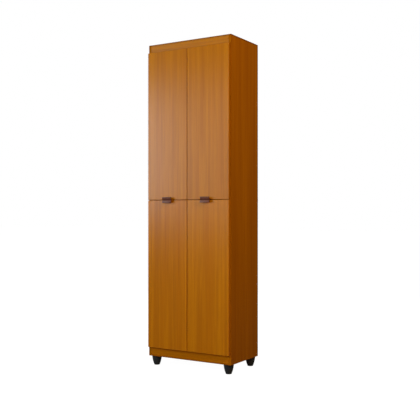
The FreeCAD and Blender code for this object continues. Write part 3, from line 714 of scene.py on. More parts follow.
def hardboard(node):
    """Printed on the inner face, raw and screen-marked on the outer one."""
    low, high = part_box(node)
    material, tree, surface, place = new_finish("hardboard_" + node, Specular_IOR_Level=0.06)
    wood = wood_print(tree, place)
    x, y, z = parts(tree, place)
    outside = calc(tree, "GREATER_THAN", y, low.y + printed_depth)

    printed = blend(tree, wood["Bands"], wood_mid, wood_pale)
    streaked = blend(tree, spread(tree, wood["Streaks"], *back_streaks), printed, wood_dark)
    fibre = noise(tree, place, *fibre_noise)
    patches = noise(tree, place, *patch_noise)
    raw = blend(tree, spread(tree, fibre, *tint_range), raw_board_dark, raw_board_pale)
    cloudy = blend(tree, spread(tree, patches, *patch_share), raw, raw_board_dark)
    fill(tree, surface["Base Color"], blend(tree, outside, streaked, cloudy))
    fill(tree, surface["Roughness"], spread(tree, outside, 0.0, 1.0, *back_gloss, "LINEAR"))

    wires = [calc(tree, "SINE", times(tree, along, 2 * math.pi / screen_pitch)) for along in (x, z)]
    screen = times(tree, times(tree, *wires), outside)
    relief = calc(tree, "ADD", screen, times(tree, fibre, raw_fibre_relief))
    raise_bumps(tree, surface, relief, screen_depth, screen_strength)
    return material


for node in ("upper_back_panel", "lower_back_panel"):
    dress(node, hardboard(node))
print("hardboard backs dressed")

# %% [markdown]
# Steel comes in two coats here. Screws and nails are zinc plated: greyish, a little blue and yellow in
# places, with scratches. Hinges are nickel plated and smoother. One function makes both, because only the
# numbers differ: the colour, how cloudy it is, and how much the scratches show.

# %% Plated steel
scratch_bright = (0.85, 0.85, 0.84, 1)
scratch_strength, scratch_relief, smudge_dulling = 0.25, 0.5, 0.18


def plated(name, colour, tinge, gloss, scratch, scratch_depth):
    """Plated steel, with smudges that dull it and scratches that catch the light."""
    material, tree, surface, place = new_finish(name, Metallic=1.0)
    metal = use(tree, worn_metal, place=place, scratch=scratch)
    tinted = blend(tree, spread(tree, metal["Smudges"], *tint_range), colour, tinge)
    scratched = blend(tree, times(tree, metal["Scratches"], scratch_strength), tinted, scratch_bright)
    fill(tree, surface["Base Color"], scratched)
    smudged = spread(tree, metal["Smudges"], *gloss_range, gloss, gloss + smudge_dulling)
    fill(tree, surface["Roughness"], smudged)
    raise_bumps(tree, surface, metal["Height"], scratch_depth, scratch_relief)
    return material


zinc = plated("zinc_plating", (0.56, 0.57, 0.58, 1), (0.52, 0.50, 0.42, 1), 0.30, 0.22 * MM, 0.02 * MM)
nickel = plated("nickel_plating", (0.66, 0.64, 0.60, 1), (0.58, 0.56, 0.52, 1), 0.16, 0.30 * MM, 0.008 * MM)
hinge_nodes = [node for node in nodes if node.endswith(("hinge_arm", "hinge_cup"))]
for node in hinge_nodes + ["hinge_plates", "hinge_pins"]:
    dress(node, nickel)
print("hinge pieces in nickel", len(hinge_nodes))

# %% [markdown]
# Plastic is dyed right through, so its colour hardly changes. What tells it from paint is its skin: tiny
# pebbles from the mould, a cloudy sheen, and paler or darker scuffs where it has rubbed.

# %% Moulded plastic
deeper_share, cloud_dulling, scuff_dulling = 0.72, 0.12, 0.3
skin_depth, skin_strength = 0.015 * MM, 0.6


def moulded(name, colour, scuff_colour, gloss, pebble, scuffed, specular=0.4):
    """Moulded plastic, dyed through, with a fine skin and some scuffs."""
    material, tree, surface, place = new_finish(name, Specular_IOR_Level=specular)
    skin = use(tree, moulded_skin, place=place, pebble=pebble)
    deeper = tuple(deeper_share * part for part in colour[:3]) + (1,)
    clouded = blend(tree, spread(tree, skin["Cloud"], *tint_range), colour, deeper)
    worn = times(tree, skin["Scuffs"], scuffed)
    fill(tree, surface["Base Color"], blend(tree, worn, clouded, scuff_colour))
    cloudy_gloss = spread(tree, skin["Cloud"], *gloss_range, gloss, gloss + cloud_dulling)
    fill(tree, surface["Roughness"], calc(tree, "ADD", cloudy_gloss, times(tree, worn, scuff_dulling)))
    raise_bumps(tree, surface, skin["Height"], skin_depth, skin_strength)
    return material


foot_black = moulded(
    "foot_black", (0.025, 0.029, 0.034, 1), (0.06, 0.06, 0.06, 1), 0.34, 0.40 * MM, 0.35, specular=0.16
)
support_brown = moulded("support_brown", (0.14, 0.055, 0.020, 1), (0.26, 0.14, 0.08, 1), 0.32, 0.30 * MM, 0.3)
strip_brown = moulded("strip_brown", (0.075, 0.032, 0.014, 1), (0.16, 0.10, 0.06, 1), 0.40, 0.50 * MM, 0.4)
bumper_clear = moulded("bumper_clear", (0.55, 0.52, 0.46, 1), (0.36, 0.32, 0.26, 1), 0.24, 0.25 * MM, 0.5)
dress("back_joint_strip", strip_brown)
print("plastics", [material.name for material in (foot_black, support_brown, strip_brown, bumper_clear)])

# %% [markdown]
# Two finishes are left. The dowels are beech, which is the grain group again, in short pale fibres that run
# along the pin. The pulls are steel sheet with a satin dark brown lacquer. Its skin is faintly rippled, as
# sprayed lacquer is, and has a few fine scratches of a paler brown.

# %% Beech and lacquer
beech_pale, beech_dark = (0.54, 0.34, 0.17, 1), (0.38, 0.21, 0.09, 1)
beech_width, beech_fibres, beech_pores = 0.25, (0.35, 0.75), 0.6
beech_gloss, beech_depth, beech_strength = (0.3, 0.7, 0.55, 0.70), 0.05 * MM, 0.6
lacquer_brown, lacquer_deep = (0.135, 0.043, 0.024, 1), (0.105, 0.032, 0.018, 1)
lacquer_rubbed = (0.20, 0.09, 0.06, 1)
ripple_size, ripple_depth, ripple_strength = 1.1 * MM, 0.02 * MM, 0.5
lacquer_scratch, rubbed_share = 0.5 * MM, 0.3
lacquer_metal, lacquer_gloss, lacquer_coat = (0.3, 0.7, 0.10, 0.20), (0.38, 0.48), (0.30, 0.70, 0.12, 0.06)


def beech():
    material, tree, surface, place = new_finish("beech", Specular_IOR_Level=0.15)
    along_pin = add(tree, "ShaderNodeMapping", {"Vector": place, "Rotation": (0, math.radians(90), 0)})
    wood = use(tree, grain, place=along_pin, width=beech_width)
    fibred = blend(tree, spread(tree, wood["Fibres"], *beech_fibres), beech_pale, beech_dark)
    pores = times(tree, wood["Pores"], beech_pores)
    fill(tree, surface["Base Color"], blend(tree, pores, fibred, beech_dark))
    fill(tree, surface["Roughness"], spread(tree, wood["Streaks"], *beech_gloss))
    raise_bumps(tree, surface, wood["Fibres"], beech_depth, beech_strength)
    return material


def lacquer():
    material, tree, surface, place = new_finish("brown_lacquer", Specular_IOR_Level=0.25, Coat_Roughness=0.30)
    skin = use(tree, moulded_skin, place=place, pebble=ripple_size)
    metal = use(tree, worn_metal, place=place, scratch=lacquer_scratch)
    clouded = blend(tree, spread(tree, skin["Cloud"], *tint_range), lacquer_brown, lacquer_deep)
    rubbed = blend(tree, times(tree, metal["Scratches"], rubbed_share), clouded, lacquer_rubbed)
    fill(tree, surface["Base Color"], rubbed)
    fill(tree, surface["Metallic"], spread(tree, metal["Smudges"], *lacquer_metal))
    fill(tree, surface["Roughness"], spread(tree, metal["Smudges"], *gloss_range, *lacquer_gloss))
    fill(tree, surface["Coat Weight"], spread(tree, skin["Cloud"], *lacquer_coat))
    raise_bumps(tree, surface, skin["Height"], ripple_depth, ripple_strength)
    return material


dowel_wood = beech()
pull_lacquer = lacquer()
print("finishes", len(bpy.data.materials))

# %% [markdown]
# ## Where the small pieces are
#
# A CAD node such as `hinge_screws` holds 24 separate screws in one mesh. To make them again, this file has to
# know where each one is. The triangles of one screw hang together and touch no other screw, so a walk from
# corner to corner finds every solid, and its box says where it lies and how long it is. A spot is a point and
# the turn of the piece that goes there.

# %% Find the solids of a node
merge_distance = 0.001 * MM


def solids(node):
    """The box of each separate solid in a CAD node, as its lowest and highest corners."""
    copy = bmesh.new()
    copy.from_mesh(nodes[node].data)
    bmesh.ops.remove_doubles(copy, verts=copy.verts, dist=merge_distance)
    copy.verts.ensure_lookup_table()
    unseen = set(copy.verts)
    boxes = []
    for first in copy.verts:
        if first not in unseen:
            continue
        unseen.remove(first)
        waiting, found = [first], []
        while waiting:
            here = waiting.pop()
            found.append(here.co.copy())
            for edge in here.link_edges:
                there = edge.other_vert(here)
                if there in unseen:
                    unseen.remove(there)
                    waiting.append(there)
        boxes.append([Vector([end(point[axis] for point in found) for axis in range(3)])
                      for end in (min, max)])
    copy.free()
    return boxes


def far_side(low, high, outward):
    """The middle of the box's face that looks outward."""
    reach = (high - low) / 2
    return (low + high) / 2 + Vector([reach[axis] * outward[axis] for axis in range(3)])


def across(low):
    """The way out through the side panel that is nearest."""
    return Vector((math.copysign(1, low.x), 0, 0))


def facing(outward):
    """The turn that points a piece's top outward."""
    return Vector(outward).to_track_quat("Z", "Y").to_euler()


def spot_on(low, high, outward, sunk=0.0):
    """A spot on a solid's outer face, or sunk below it, that faces outward."""
    way = outward(low) if callable(outward) else outward
    return far_side(low, high, way) - way * sunk, facing(way)


def spots_of(node, outward, sunk=0.0):
    """Such a spot for each solid of a node."""
    return [spot_on(low, high, outward, sunk) for low, high in solids(node)]


print("screws in hinge_screws", len(solids("hinge_screws")))

# %% [markdown]
# ## Growing meshes
#
# Geometry Nodes grow every piece that repeats. A tree is run on a small starting mesh with `grown`, which
# sets the tree's inputs by their identifiers, reads back the finished mesh and throws the modifier away. The
# result is an ordinary mesh whose faces point outwards.

# %% Run a tree on a mesh
soft_angle = 35.0


def link_new(name, mesh):
    piece = bpy.data.objects.new(name, mesh)
    bpy.context.scene.collection.objects.link(piece)
    return piece


def grown(name, mesh, tree, sharp=soft_angle, **values):
    """The object that a Geometry Nodes tree makes from a mesh, as a plain mesh."""
    piece = link_new(name, mesh)
    modifier = piece.modifiers.new("grow", "NODES")
    modifier.node_group = tree
    labels = {item.name: item.identifier for item in tree.interface.items_tree if item.in_out == "INPUT"}
    for key, value in values.items():
        modifier[labels[spoken(key)]] = value
    evaluated = piece.evaluated_get(bpy.context.evaluated_depsgraph_get())
    result = bpy.data.meshes.new_from_object(evaluated)
    piece.modifiers.remove(modifier)
    piece.data = result
    shell = bmesh.new()
    shell.from_mesh(result)
    bmesh.ops.remove_doubles(shell, verts=shell.verts, dist=merge_distance)
    bmesh.ops.dissolve_degenerate(shell, edges=shell.edges, dist=merge_distance)
    bmesh.ops.recalc_face_normals(shell, faces=shell.faces)
    open_edges = sum(not edge.is_manifold for edge in shell.edges)
    shell.to_mesh(result)
    shell.free()
    result.shade_smooth()
    result.set_sharp_from_angle(angle=math.radians(sharp))
    print(name, len(result.polygons), "faces", open_edges, "open edges")
    return piece


def line_mesh(name, points, closed=False, **values):
    """A mesh of edges through the points, with a value on each point where one is given."""
    mesh = bpy.data.meshes.new(name)
    edges = [(i, i + 1) for i in range(len(points) - 1)]
    if closed:
        edges.append((len(points) - 1, 0))
    mesh.from_pydata(points, edges, [])
    for key, numbers in values.items():
        mesh.attributes.new(key, "FLOAT", "POINT").data.foreach_set("value", numbers)
    return mesh


def coated(tree, geometry, material):
    """The end of every tree: its geometry with the finish on it."""
    return add(tree, "GeometryNodeSetMaterial", {"Geometry": geometry, "Material": material})


print("growing helpers ready")

# %% [markdown]
# ## Turned pieces
#
# Feet, nails, caps, dowels and screws are all turned: half of their outline, swept round an axis. Blender can
# do that with Spin, the Screw modifier or a curve. Here the outline is a curve that is swept along a circle,
# in a tree that all of them share. Curve to Mesh puts the profile's X on the circle's radius and its Y
# downwards, so the outline is first moved in by the circle's radius and turned over. Flutes are drawn in
# afterwards, by a cosine of the angle round the axis.

# %% Tree: turned piece
def draw_turned_piece(tree, at):
    x, y, z = parts(tree, add(tree, "GeometryNodeInputPosition"))
    drawn = vector_of(tree, calc(tree, "SUBTRACT", x, at["Hub"]), times(tree, z, -1.0))
    laid = add(tree, "GeometryNodeSetPosition", {"Geometry": at["Outline"], "Position": drawn})
    profile = add(tree, "GeometryNodeMeshToCurve", {"Mesh": laid})
    circle = add(tree, "GeometryNodeCurvePrimitiveCircle", {"Resolution": at["Steps"], "Radius": at["Hub"]})
    level = add(tree, "GeometryNodeSetCurveNormal", {"Curve": circle}, mode="Z_UP")
    swept = add(tree, "GeometryNodeCurveToMesh", {"Curve": level, "Profile Curve": profile})
    closed = add(tree, "GeometryNodeMergeByDistance", {"Geometry": swept, "Distance": merge_distance})

    here = add(tree, "GeometryNodeInputPosition")
    x, y, z = parts(tree, here)
    wave = calc(tree, "COSINE", times(tree, calc(tree, "ARCTAN2", y, x), at["Flutes"]))
    inwards = times(tree, at["Flute depth"], calc(tree, "SUBTRACT", wave, 1.0))
    radial = vector_calc(tree, "NORMALIZE", scaled(tree, here, (1, 1, 0)))
    push = scaled(tree, radial, vector_of(tree, inwards, inwards))
    fluted = add(tree, "GeometryNodeSetPosition", {"Geometry": closed, "Offset": push})
    return {"Piece": coated(tree, fluted, at["Material"])}


turned_tree = make_group("Turned piece", "GeometryNodeTree", {
    "Outline": "Geometry",
    "Steps": 24,
    "Hub": 50 * MM,
    "Flutes": 0,
    "Flute depth": 0.0,
    "Material": "Material",
}, draw_turned_piece)


def turned(name, points, **values):
    """A turned piece, from a half outline of radius and height pairs, from its top to its foot."""
    return grown(name, line_mesh(name, [(radius, 0, height) for radius, height in points]), turned_tree,
                 **values)


def arc(centre, wide, tall, first, last, steps):
    """Points of radius and height on a round or oval arc, by degrees from the radius axis."""
    turns = [math.radians(first + (last - first) * i / steps) for i in range(steps + 1)]
    return [(centre[0] + wide * math.cos(turn), centre[1] + tall * math.sin(turn)) for turn in turns]


# %% [markdown]
# ## Placing them
#
# The second tree puts one finished piece at many spots. Each spot is a point that carries a turn, found
# from the CAD solid there. The tree adds what a hand adds: every screw stops at its own angle, and nails lean
# a little. Both come from a fixed seed, so the picture is the same each time.

# %% Tree: pieces set in place
def draw_placing(tree, at):
    def chance(limit, step):
        """A random number from minus the limit to the limit, another for each step."""
        node = add(tree, "FunctionNodeRandomValue", data_type="FLOAT")
        by_identifier = {socket.identifier: socket for socket in node.inputs}
        fill(tree, by_identifier["Min_001"], times(tree, limit, -1.0))
        fill(tree, by_identifier["Max_001"], limit)
        fill(tree, by_identifier["Seed"], calc(tree, "ADD", at["Seed"], float(step)))
        return next(socket for socket in node.outputs if socket.identifier == "Value_001")

    turn = add(tree, "GeometryNodeInputNamedAttribute", {"Name": "turn"}, data_type="FLOAT_VECTOR")
    outward = add(tree, "FunctionNodeEulerToRotation", {"Euler": turn})
    wobble = vector_of(tree, chance(at["Lean"], 0), chance(at["Lean"], 1), chance(at["Roll"], 2))
    by_hand = add(tree, "FunctionNodeEulerToRotation", {"Euler": wobble})
    both = {"Rotation": outward, "Rotate By": by_hand}
    copies = add(tree, "GeometryNodeInstanceOnPoints", {
        "Points": at["Places"],
        "Instance": add(tree, "GeometryNodeObjectInfo", {"Object": at["Piece"]}).outputs["Geometry"],
        "Rotation": add(tree, "FunctionNodeRotateRotation", both, rotation_space="LOCAL"),
    })
    real = add(tree, "GeometryNodeRealizeInstances", {"Geometry": copies})
    return {"Pieces": coated(tree, real, at["Material"])}


FREE_ROLL = math.pi
placing_tree = make_group("Set in place", "GeometryNodeTree", {
    "Places": "Geometry",
    "Piece": "Object",
    "Roll": FREE_ROLL,
    "Lean": 0.0,
    "Seed": SEED,
    "Material": "Material",
}, draw_placing)


def place_all(name, template, spots, material, roll=FREE_ROLL, lean=0.0):
    """One mesh that holds the template at every spot."""
    mesh = bpy.data.meshes.new(name + "_places")
    mesh.from_pydata([point for point, turn in spots], [], [])
    turns = mesh.attributes.new("turn", "FLOAT_VECTOR", "POINT")
    turns.data.foreach_set("vector", [number for point, turn in spots for number in turn])
    return grown(name, mesh, placing_tree, piece=template, roll=roll, lean=lean, material=material)


def joined(name, pieces):
    """Several pieces of one material as one object."""
    whole = bmesh.new()
    for piece in pieces:
        whole.from_mesh(piece.data)
    pieces[0].name = name
    whole.to_mesh(pieces[0].data)
    whole.free()
    for piece in pieces[1:]:
        bpy.data.objects.remove(piece)
    return pieces[0]


def settle(piece, body, slot, *replaced):
    """The piece rides on its body and stands for its CAD nodes, which are hidden. Its slot is not used."""
    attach(piece, body)
    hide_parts(*replaced)


def put(name, template, spots, material, body, slot, node, **by_hand):
    """The template at every spot, as one settled piece that stands for a CAD node."""
    settle(place_all(name, template, spots, material, **by_hand), body, slot, node)


# %% [markdown]
# ## Screws
#
# Every screw here has a cross in its head and a thread on its shank. The turned tree gives the body, two
# bars cut the cross out of the head with a Mesh Boolean, and a thin triangle swept along a spiral is the
# thread. The tree runs once for each size of screw.

# %% Tree: screw with a cross and a thread
screw_sides, thread_steps, thread_corners = 20, 14, 3
bar_length_share, bar_width_share, bar_height_share = 1.1, 0.28, 2.0


def draw_screw(tree, at):
    sockets = {"Outline": at["Outline"], "Steps": screw_sides}
    body = add(tree, "GeometryNodeGroup", sockets, node_tree=turned_tree)

    long_way = times(tree, at["Head radius"], bar_length_share)
    narrow_way = times(tree, at["Head radius"], bar_width_share)
    tall = times(tree, at["Recess depth"], bar_height_share)
    head_top = vector_of(tree, z=at["Head top"])
    bars = []
    for size in ((long_way, narrow_way, tall), (narrow_way, long_way, tall)):
        cube = add(tree, "GeometryNodeMeshCube", {"Size": vector_of(tree, *size)})
        bars.append(add(tree, "GeometryNodeTransform", {"Geometry": cube, "Translation": head_top}))
    cross = add(tree, "GeometryNodeJoinGeometry", {0: bars})
    cut = add(tree, "GeometryNodeMeshBoolean", {"Mesh 1": body, "Mesh 2": cross, "Self Intersection": True},
              operation="DIFFERENCE", solver="EXACT")

    spiral = add(tree, "GeometryNodeCurveSpiral", {
        "Resolution": thread_steps,
        "Rotations": at["Thread turns"],
        "Start Radius": at["Shank radius"],
        "End Radius": at["Shank radius"],
        "Height": at["Thread length"],
        "Reverse": True,
    })
    ridge = {"Resolution": thread_corners, "Radius": at["Thread height"]}
    thread = add(tree, "GeometryNodeCurveToMesh", {
        "Curve": spiral,
        "Profile Curve": add(tree, "GeometryNodeCurvePrimitiveCircle", ridge),
        "Fill Caps": True,
    })
    low_end = calc(tree, "SUBTRACT", at["Thread start"], at["Thread length"])
    down = vector_of(tree, z=low_end)
    lowered = add(tree, "GeometryNodeTransform", {"Geometry": thread, "Translation": down})
    whole = add(tree, "GeometryNodeJoinGeometry", {0: [cut, lowered]})
    return {"Piece": coated(tree, whole, at["Material"])}


screw_tree = make_group("Cross screw", "GeometryNodeTree", {
    "Outline": "Geometry",
    "Head radius": 3 * MM,
    "Head top": 1.6 * MM,
    "Recess depth": 1 * MM,
    "Shank radius": 1.6 * MM,
    "Thread start": -1 * MM,
    "Thread length": 8 * MM,
    "Thread turns": 6.0,
    "Thread height": 0.4 * MM,
    "Material": "Material",
}, draw_screw)

# %% Screws of each size
point_share, recess_share, pitch_share, ridge_share, dome_share = 1.2, 0.6, 1.1, 0.30, 2 / 3
flush_rim, thread_sink, crown_steps = 0.25 * MM, 0.12 * MM, 5
small_head, foot_head = 1.6 * MM, 2.6 * MM


def screw(name, head, head_height, shank, length, flush):
    """A screw that stands on the origin, or ends at it where its head is flush."""
    point = point_share * shank
    if flush:
        top = 0.0
        head_points = [(0, 0), (head - flush_rim, 0), (head, -flush_rim), (shank, -head_height)]
        thread_start = -head_height - shank
    else:
        rise = head_height * dome_share
        top = head_height
        crown = arc((0, top - rise), head, rise, 90, 0, crown_steps)
        head_points = crown + [(head, 0), (shank, 0)]
        thread_start = -shank
    points = head_points + [(shank, point - length), (0, -length)]
    thread_length = length + thread_start - point
    return grown(
        name, line_mesh(name, [(radius, 0, height) for radius, height in points]), screw_tree,
        head_radius=head, head_top=top, recess_depth=head_height * recess_share,
        shank_radius=shank - thread_sink, thread_start=thread_start, thread_length=thread_length,
        thread_turns=thread_length / (pitch_share * shank), thread_height=ridge_share * shank, material=zinc,
    )


long_flush = screw("screw_long_flush", 4.8 * MM, 3.2 * MM, 2.5 * MM, 45 * MM, flush=True)
short_flush = screw("screw_short_flush", 2.4 * MM, 1.2 * MM, 1.25 * MM, 13.2 * MM, flush=True)
foot_pan = screw("screw_foot", 4.2 * MM, foot_head, 2.2 * MM, 20 * MM, flush=False)
small_pans = {mm: screw("screw_small_%d" % mm, 3.2 * MM, small_head, 1.6 * MM, mm * MM, flush=False)
              for mm in (6.0, 11.5, 13.0)}

# %% Screws set in place
def put_small_screws(name, node, outward, body):
    """The small screws of a node, each as long as its solid, as one settled piece."""
    by_length = {}
    for low, high in solids(node):
        long = max(high - low) - small_head
        nearest = min(small_pans, key=lambda mm: abs(mm * MM - long))
        by_length.setdefault(nearest, []).append(spot_on(low, high, outward, small_head))
    sets = [place_all("%s_%d" % (name, mm), small_pans[mm], spots, zinc)
            for mm, spots in sorted(by_length.items())]
    settle(joined(name, sets), body, "zinc_steel", node)


side_spots = spots_of("assembly_screws", across)
put("side_screws", long_flush, side_spots, zinc, "carcass", "zinc_steel", "assembly_screws")
foot_spots = spots_of("foot_screws", DOWN, foot_head)
put("foot_fixings", foot_pan, foot_spots, zinc, "carcass", "zinc_steel", "foot_screws")
put_small_screws("hinge_fixings", "hinge_screws", lambda low: -across(low), "carcass")
for door in door_names:
    put_small_screws(door + "_cup_fixings", door + "_cup_screws", BACKWARDS, door + "_door")
    node = door + "_pull_screws"
    pull_spots = spots_of(node, UP if door.startswith("lower") else DOWN)
    put(door + "_pull_fixings", short_flush, pull_spots, zinc, door + "_door", "zinc_steel", node)

# %% [markdown]
# ## Nails, caps, dowels and bumpers
#
# The rest of the turned small pieces follow in the same two steps: an outline, and the places of the CAD
# solids. Nails have a slightly domed head and lean a degree or two. Caps are thin discs of the same film as
# the sides, so they nearly vanish. Dowels have flutes that let glue out. Bumpers are soft domes.

# %% Nails
nail_head, nail_cap, nail_shank, nail_long = 2.0 * MM, 0.6 * MM, 0.6 * MM, 14 * MM
nail_crown = ((0, 1), (0.6, 0.92), (0.92, 0.62), (1, 0.3), (0.95, 0))
nail_lean = math.radians(1.5)
nail = turned("nail", [
    *((nail_head * wide, nail_cap * tall) for wide, tall in nail_crown),
    (nail_shank, -nail_cap / 2), (nail_shank, nail_shank * 2 - nail_long), (0, -nail_long),
], steps=12, material=zinc)
nail_spots = spots_of("back_nails", BACKWARDS, nail_cap)
put("driven_nails", nail, nail_spots, zinc, "carcass", "zinc_steel", "back_nails", lean=nail_lean)

# %% Caps
cap_radius, cap_thick, cap_slope, cap_rim = 6.5 * MM, 0.6 * MM, 0.5 * MM, 0.15 * MM
cap = turned("cap", [
    (0, cap_thick), (cap_radius - cap_slope, cap_thick), (cap_radius - cap_rim, cap_thick * 0.8),
    (cap_radius, cap_thick * 0.4), (cap_radius, 0), (0, 0),
], steps=32)
side_film = nodes["right_side_panel"].data.materials[0]
cap_spots = spots_of("screw_caps", across, cap_thick)
put("side_caps", cap, cap_spots, side_film, "carcass", "laminate_board", "screw_caps")

# %% Dowels
dowel_radius, dowel_half, dowel_chamfer = 4.0 * MM, 15 * MM, 1.2 * MM
dowel_flutes, flute_depth = 16, 0.16 * MM
dowel_end = [
    (0, dowel_half), (dowel_radius - dowel_chamfer, dowel_half), (dowel_radius, dowel_half - dowel_chamfer),
]
other_end = [(radius, -height) for radius, height in reversed(dowel_end)]
fluted_dowel = turned("fluted_dowel", dowel_end + other_end, steps=48, flutes=dowel_flutes,
                      flute_depth=flute_depth)
dowel_spots = [((low + high) / 2, facing(across(low))) for low, high in solids("dowels")]
put("fluted_dowels", fluted_dowel, dowel_spots, dowel_wood, "carcass", "dowel_beech", "dowels")

# %% Bumpers
bumper_radius, bumper_tall, bumper_skirt = 2.4 * MM, 1.6 * MM, 0.4 * MM
dome = arc((0, bumper_skirt), bumper_radius, bumper_tall - bumper_skirt, 90, 0, 6)
bumper = turned("bumper", dome + [(bumper_radius, 0), (0, 0)], steps=24)
bumper_spots = [(point, facing(-BACKWARDS)) for point, turn in spots_of("door_bumpers", BACKWARDS)]
put("soft_bumpers", bumper, bumper_spots, bumper_clear, "carcass", "bumper_rubber", "door_bumpers")

# %% [markdown]
# ## Shelf supports
#
# A support is a pin with a plate and a ledge, moulded in one. It isn't round, so the template is a bent
# outline made thick in bmesh, with a small rib under the ledge, and a bevel softens it as a mould would. The
# bevel lists its faces in another order on each run, so they are sorted, and the mesh is always the same. The
# same placing tree sets it, without any random roll.

# %% Shelf supports
pin_radius, pin_long, pin_taper, pin_sides = 2.5 * MM, 8 * MM, 0.4 * MM, 20
plate_tall, plate_thick, ledge_long, ledge_wide = 11 * MM, 2 * MM, 9 * MM, 10 * MM
rib_half, rib_reach, rib_drop = 0.8 * MM, 5 * MM, 5 * MM
support_softening = 0.25 * MM


def support_template():
    """The support with its top at the origin's height and its pin along X."""
    bracket = [
        (-ledge_long, 0), (0, 0), (0, -plate_tall), (-plate_thick, -plate_tall),
        (-plate_thick, -plate_thick), (-ledge_long, -plate_thick),
    ]
    rib = [
        (-plate_thick, -plate_thick), (-plate_thick, -plate_thick - rib_drop),
        (-plate_thick - rib_reach, -plate_thick),
    ]
    shell = bmesh.new()
    for points, half in ((bracket, ledge_wide / 2), (rib, rib_half)):
        face = shell.faces.new([shell.verts.new((x, -half, z)) for x, z in points])
        grown_part = bmesh.ops.extrude_face_region(shell, geom=[face])["geom"]
        moved = [part for part in grown_part if isinstance(part, bmesh.types.BMVert)]
        bmesh.ops.translate(shell, verts=moved, vec=(0, 2 * half, 0))
    turn = Vector(AXES["x"]).to_track_quat("Z", "Y").to_matrix().to_4x4()
    turn.translation = Vector((pin_long / 2, 0, -plate_tall / 2))
    bmesh.ops.create_cone(shell, cap_ends=True, segments=pin_sides, radius1=pin_radius,
                          radius2=pin_radius - pin_taper, depth=pin_long, matrix=turn)
    bmesh.ops.bevel(shell, geom=shell.edges[:], offset=support_softening, segments=2, affect="EDGES",
                    profile=0.5)
    bmesh.ops.recalc_face_normals(shell, faces=shell.faces)
    shell.verts.index_update()
    faces = []
    for face in shell.faces:
        corners = [vertex.index for vertex in face.verts]
        first = corners.index(min(corners))
        faces.append(corners[first:] + corners[:first])
    mesh = bpy.data.meshes.new("support")
    mesh.from_pydata([vertex.co for vertex in shell.verts], [], sorted(faces))
    shell.free()
    return link_new("support", mesh)


support = support_template()
support_spots = []
for low, high in solids("shelf_supports"):
    wall = math.copysign(max(abs(low.x), abs(high.x)) - pin_long, low.x)
    turn = (0, 0, 0 if low.x > 0 else math.pi)
    support_spots.append(((wall, (low.y + high.y) / 2, high.z), turn))
put("clip_supports", support, support_spots, support_brown, "carcass", "support_plastic", "shelf_supports",
    roll=0.0)

# %% [markdown]
# ## Feet
#
# Each foot is moulded in black plastic: a short upright collar under the base, then a cone that swells a
# little and ends in a rounded heel. From below it is hollow, with a tube in its middle for the screw. The
# whole section is one closed outline, so the turned tree makes the outside and the inside at once.

# %% Feet
foot_tall, foot_top, foot_collar, collar_step = 54 * MM, 28 * MM, 10 * MM, 0.5 * MM
foot_heel, foot_rounding, foot_bulge = 16.5 * MM, 2.5 * MM, 1.6 * MM
foot_wall, foot_floor, foot_tube = 3.5 * MM, 5 * MM, 9 * MM
foot_bore, foot_web, foot_hole = 5.5 * MM, 8 * MM, 2.3 * MM
top_softening, bore_softening = 0.6 * MM, 0.5 * MM
groove_high, groove_low = 0.8 * MM, 0.2 * MM
swell_steps, heel_steps, foot_steps, foot_soft_angle = 12, 6, 72, 28


def bulged(top, bottom, bulge, steps):
    """Points from top to bottom that swell between them."""
    points = []
    for i in range(steps + 1):
        share = i / steps
        swell = bulge * 4 * share * (1 - share)
        points.append((top[0] + (bottom[0] - top[0]) * share + swell, top[1] + (bottom[1] - top[1]) * share))
    return points


collar = foot_tall - foot_collar
foot_section = [
    (foot_top - top_softening, foot_tall), (foot_top, foot_tall - top_softening),
    (foot_top, collar + groove_high), (foot_top - groove_low, collar + groove_low),
    *bulged((foot_top - collar_step, collar), (foot_heel, foot_rounding), foot_bulge, swell_steps),
    *arc((foot_heel - foot_rounding, foot_rounding), foot_rounding, foot_rounding, 0, -90, heel_steps)[1:],
    (foot_bore + bore_softening, 0), (foot_bore, bore_softening), (foot_bore, foot_tall - foot_web),
    (foot_hole, foot_tall - foot_web), (foot_hole, foot_tall), (foot_tube, foot_tall),
    (foot_tube, foot_floor), (foot_heel - foot_wall, foot_floor), (foot_top - foot_wall, foot_tall),
]
foot_mesh = line_mesh("foot_section", [(radius, 0, height) for radius, height in foot_section], closed=True)
turned_foot = grown("turned_foot", foot_mesh, turned_tree, steps=foot_steps, sharp=foot_soft_angle)
for node in [end + "_" + side + "_foot" for end in ("front", "rear") for side in SIDES]:
    low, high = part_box(node)
    spot = ((low.x + high.x) / 2, (low.y + high.y) / 2, 0.0), (0, 0, 0)
    put("turned_" + node, turned_foot, [spot], foot_black, "carcass", "foot_plastic", node)

# %% [markdown]
# ## Pulls
#
# A pull is a strip of steel sheet: it lies over the door's edge, runs out in front, bends down in a flared
# lip and curls back. A bent sheet is a path with rounded corners and a flat section, which is what Fillet
# Curve and Curve to Mesh make. Each corner carries its own radius as an attribute. The screw holes are cut
# with cones, and the strip is drawn flat in X and Y and stood up at the end, upside down on an upper door.

# %% Tree: bent strip
bend_steps, edge_steps = 7, 3


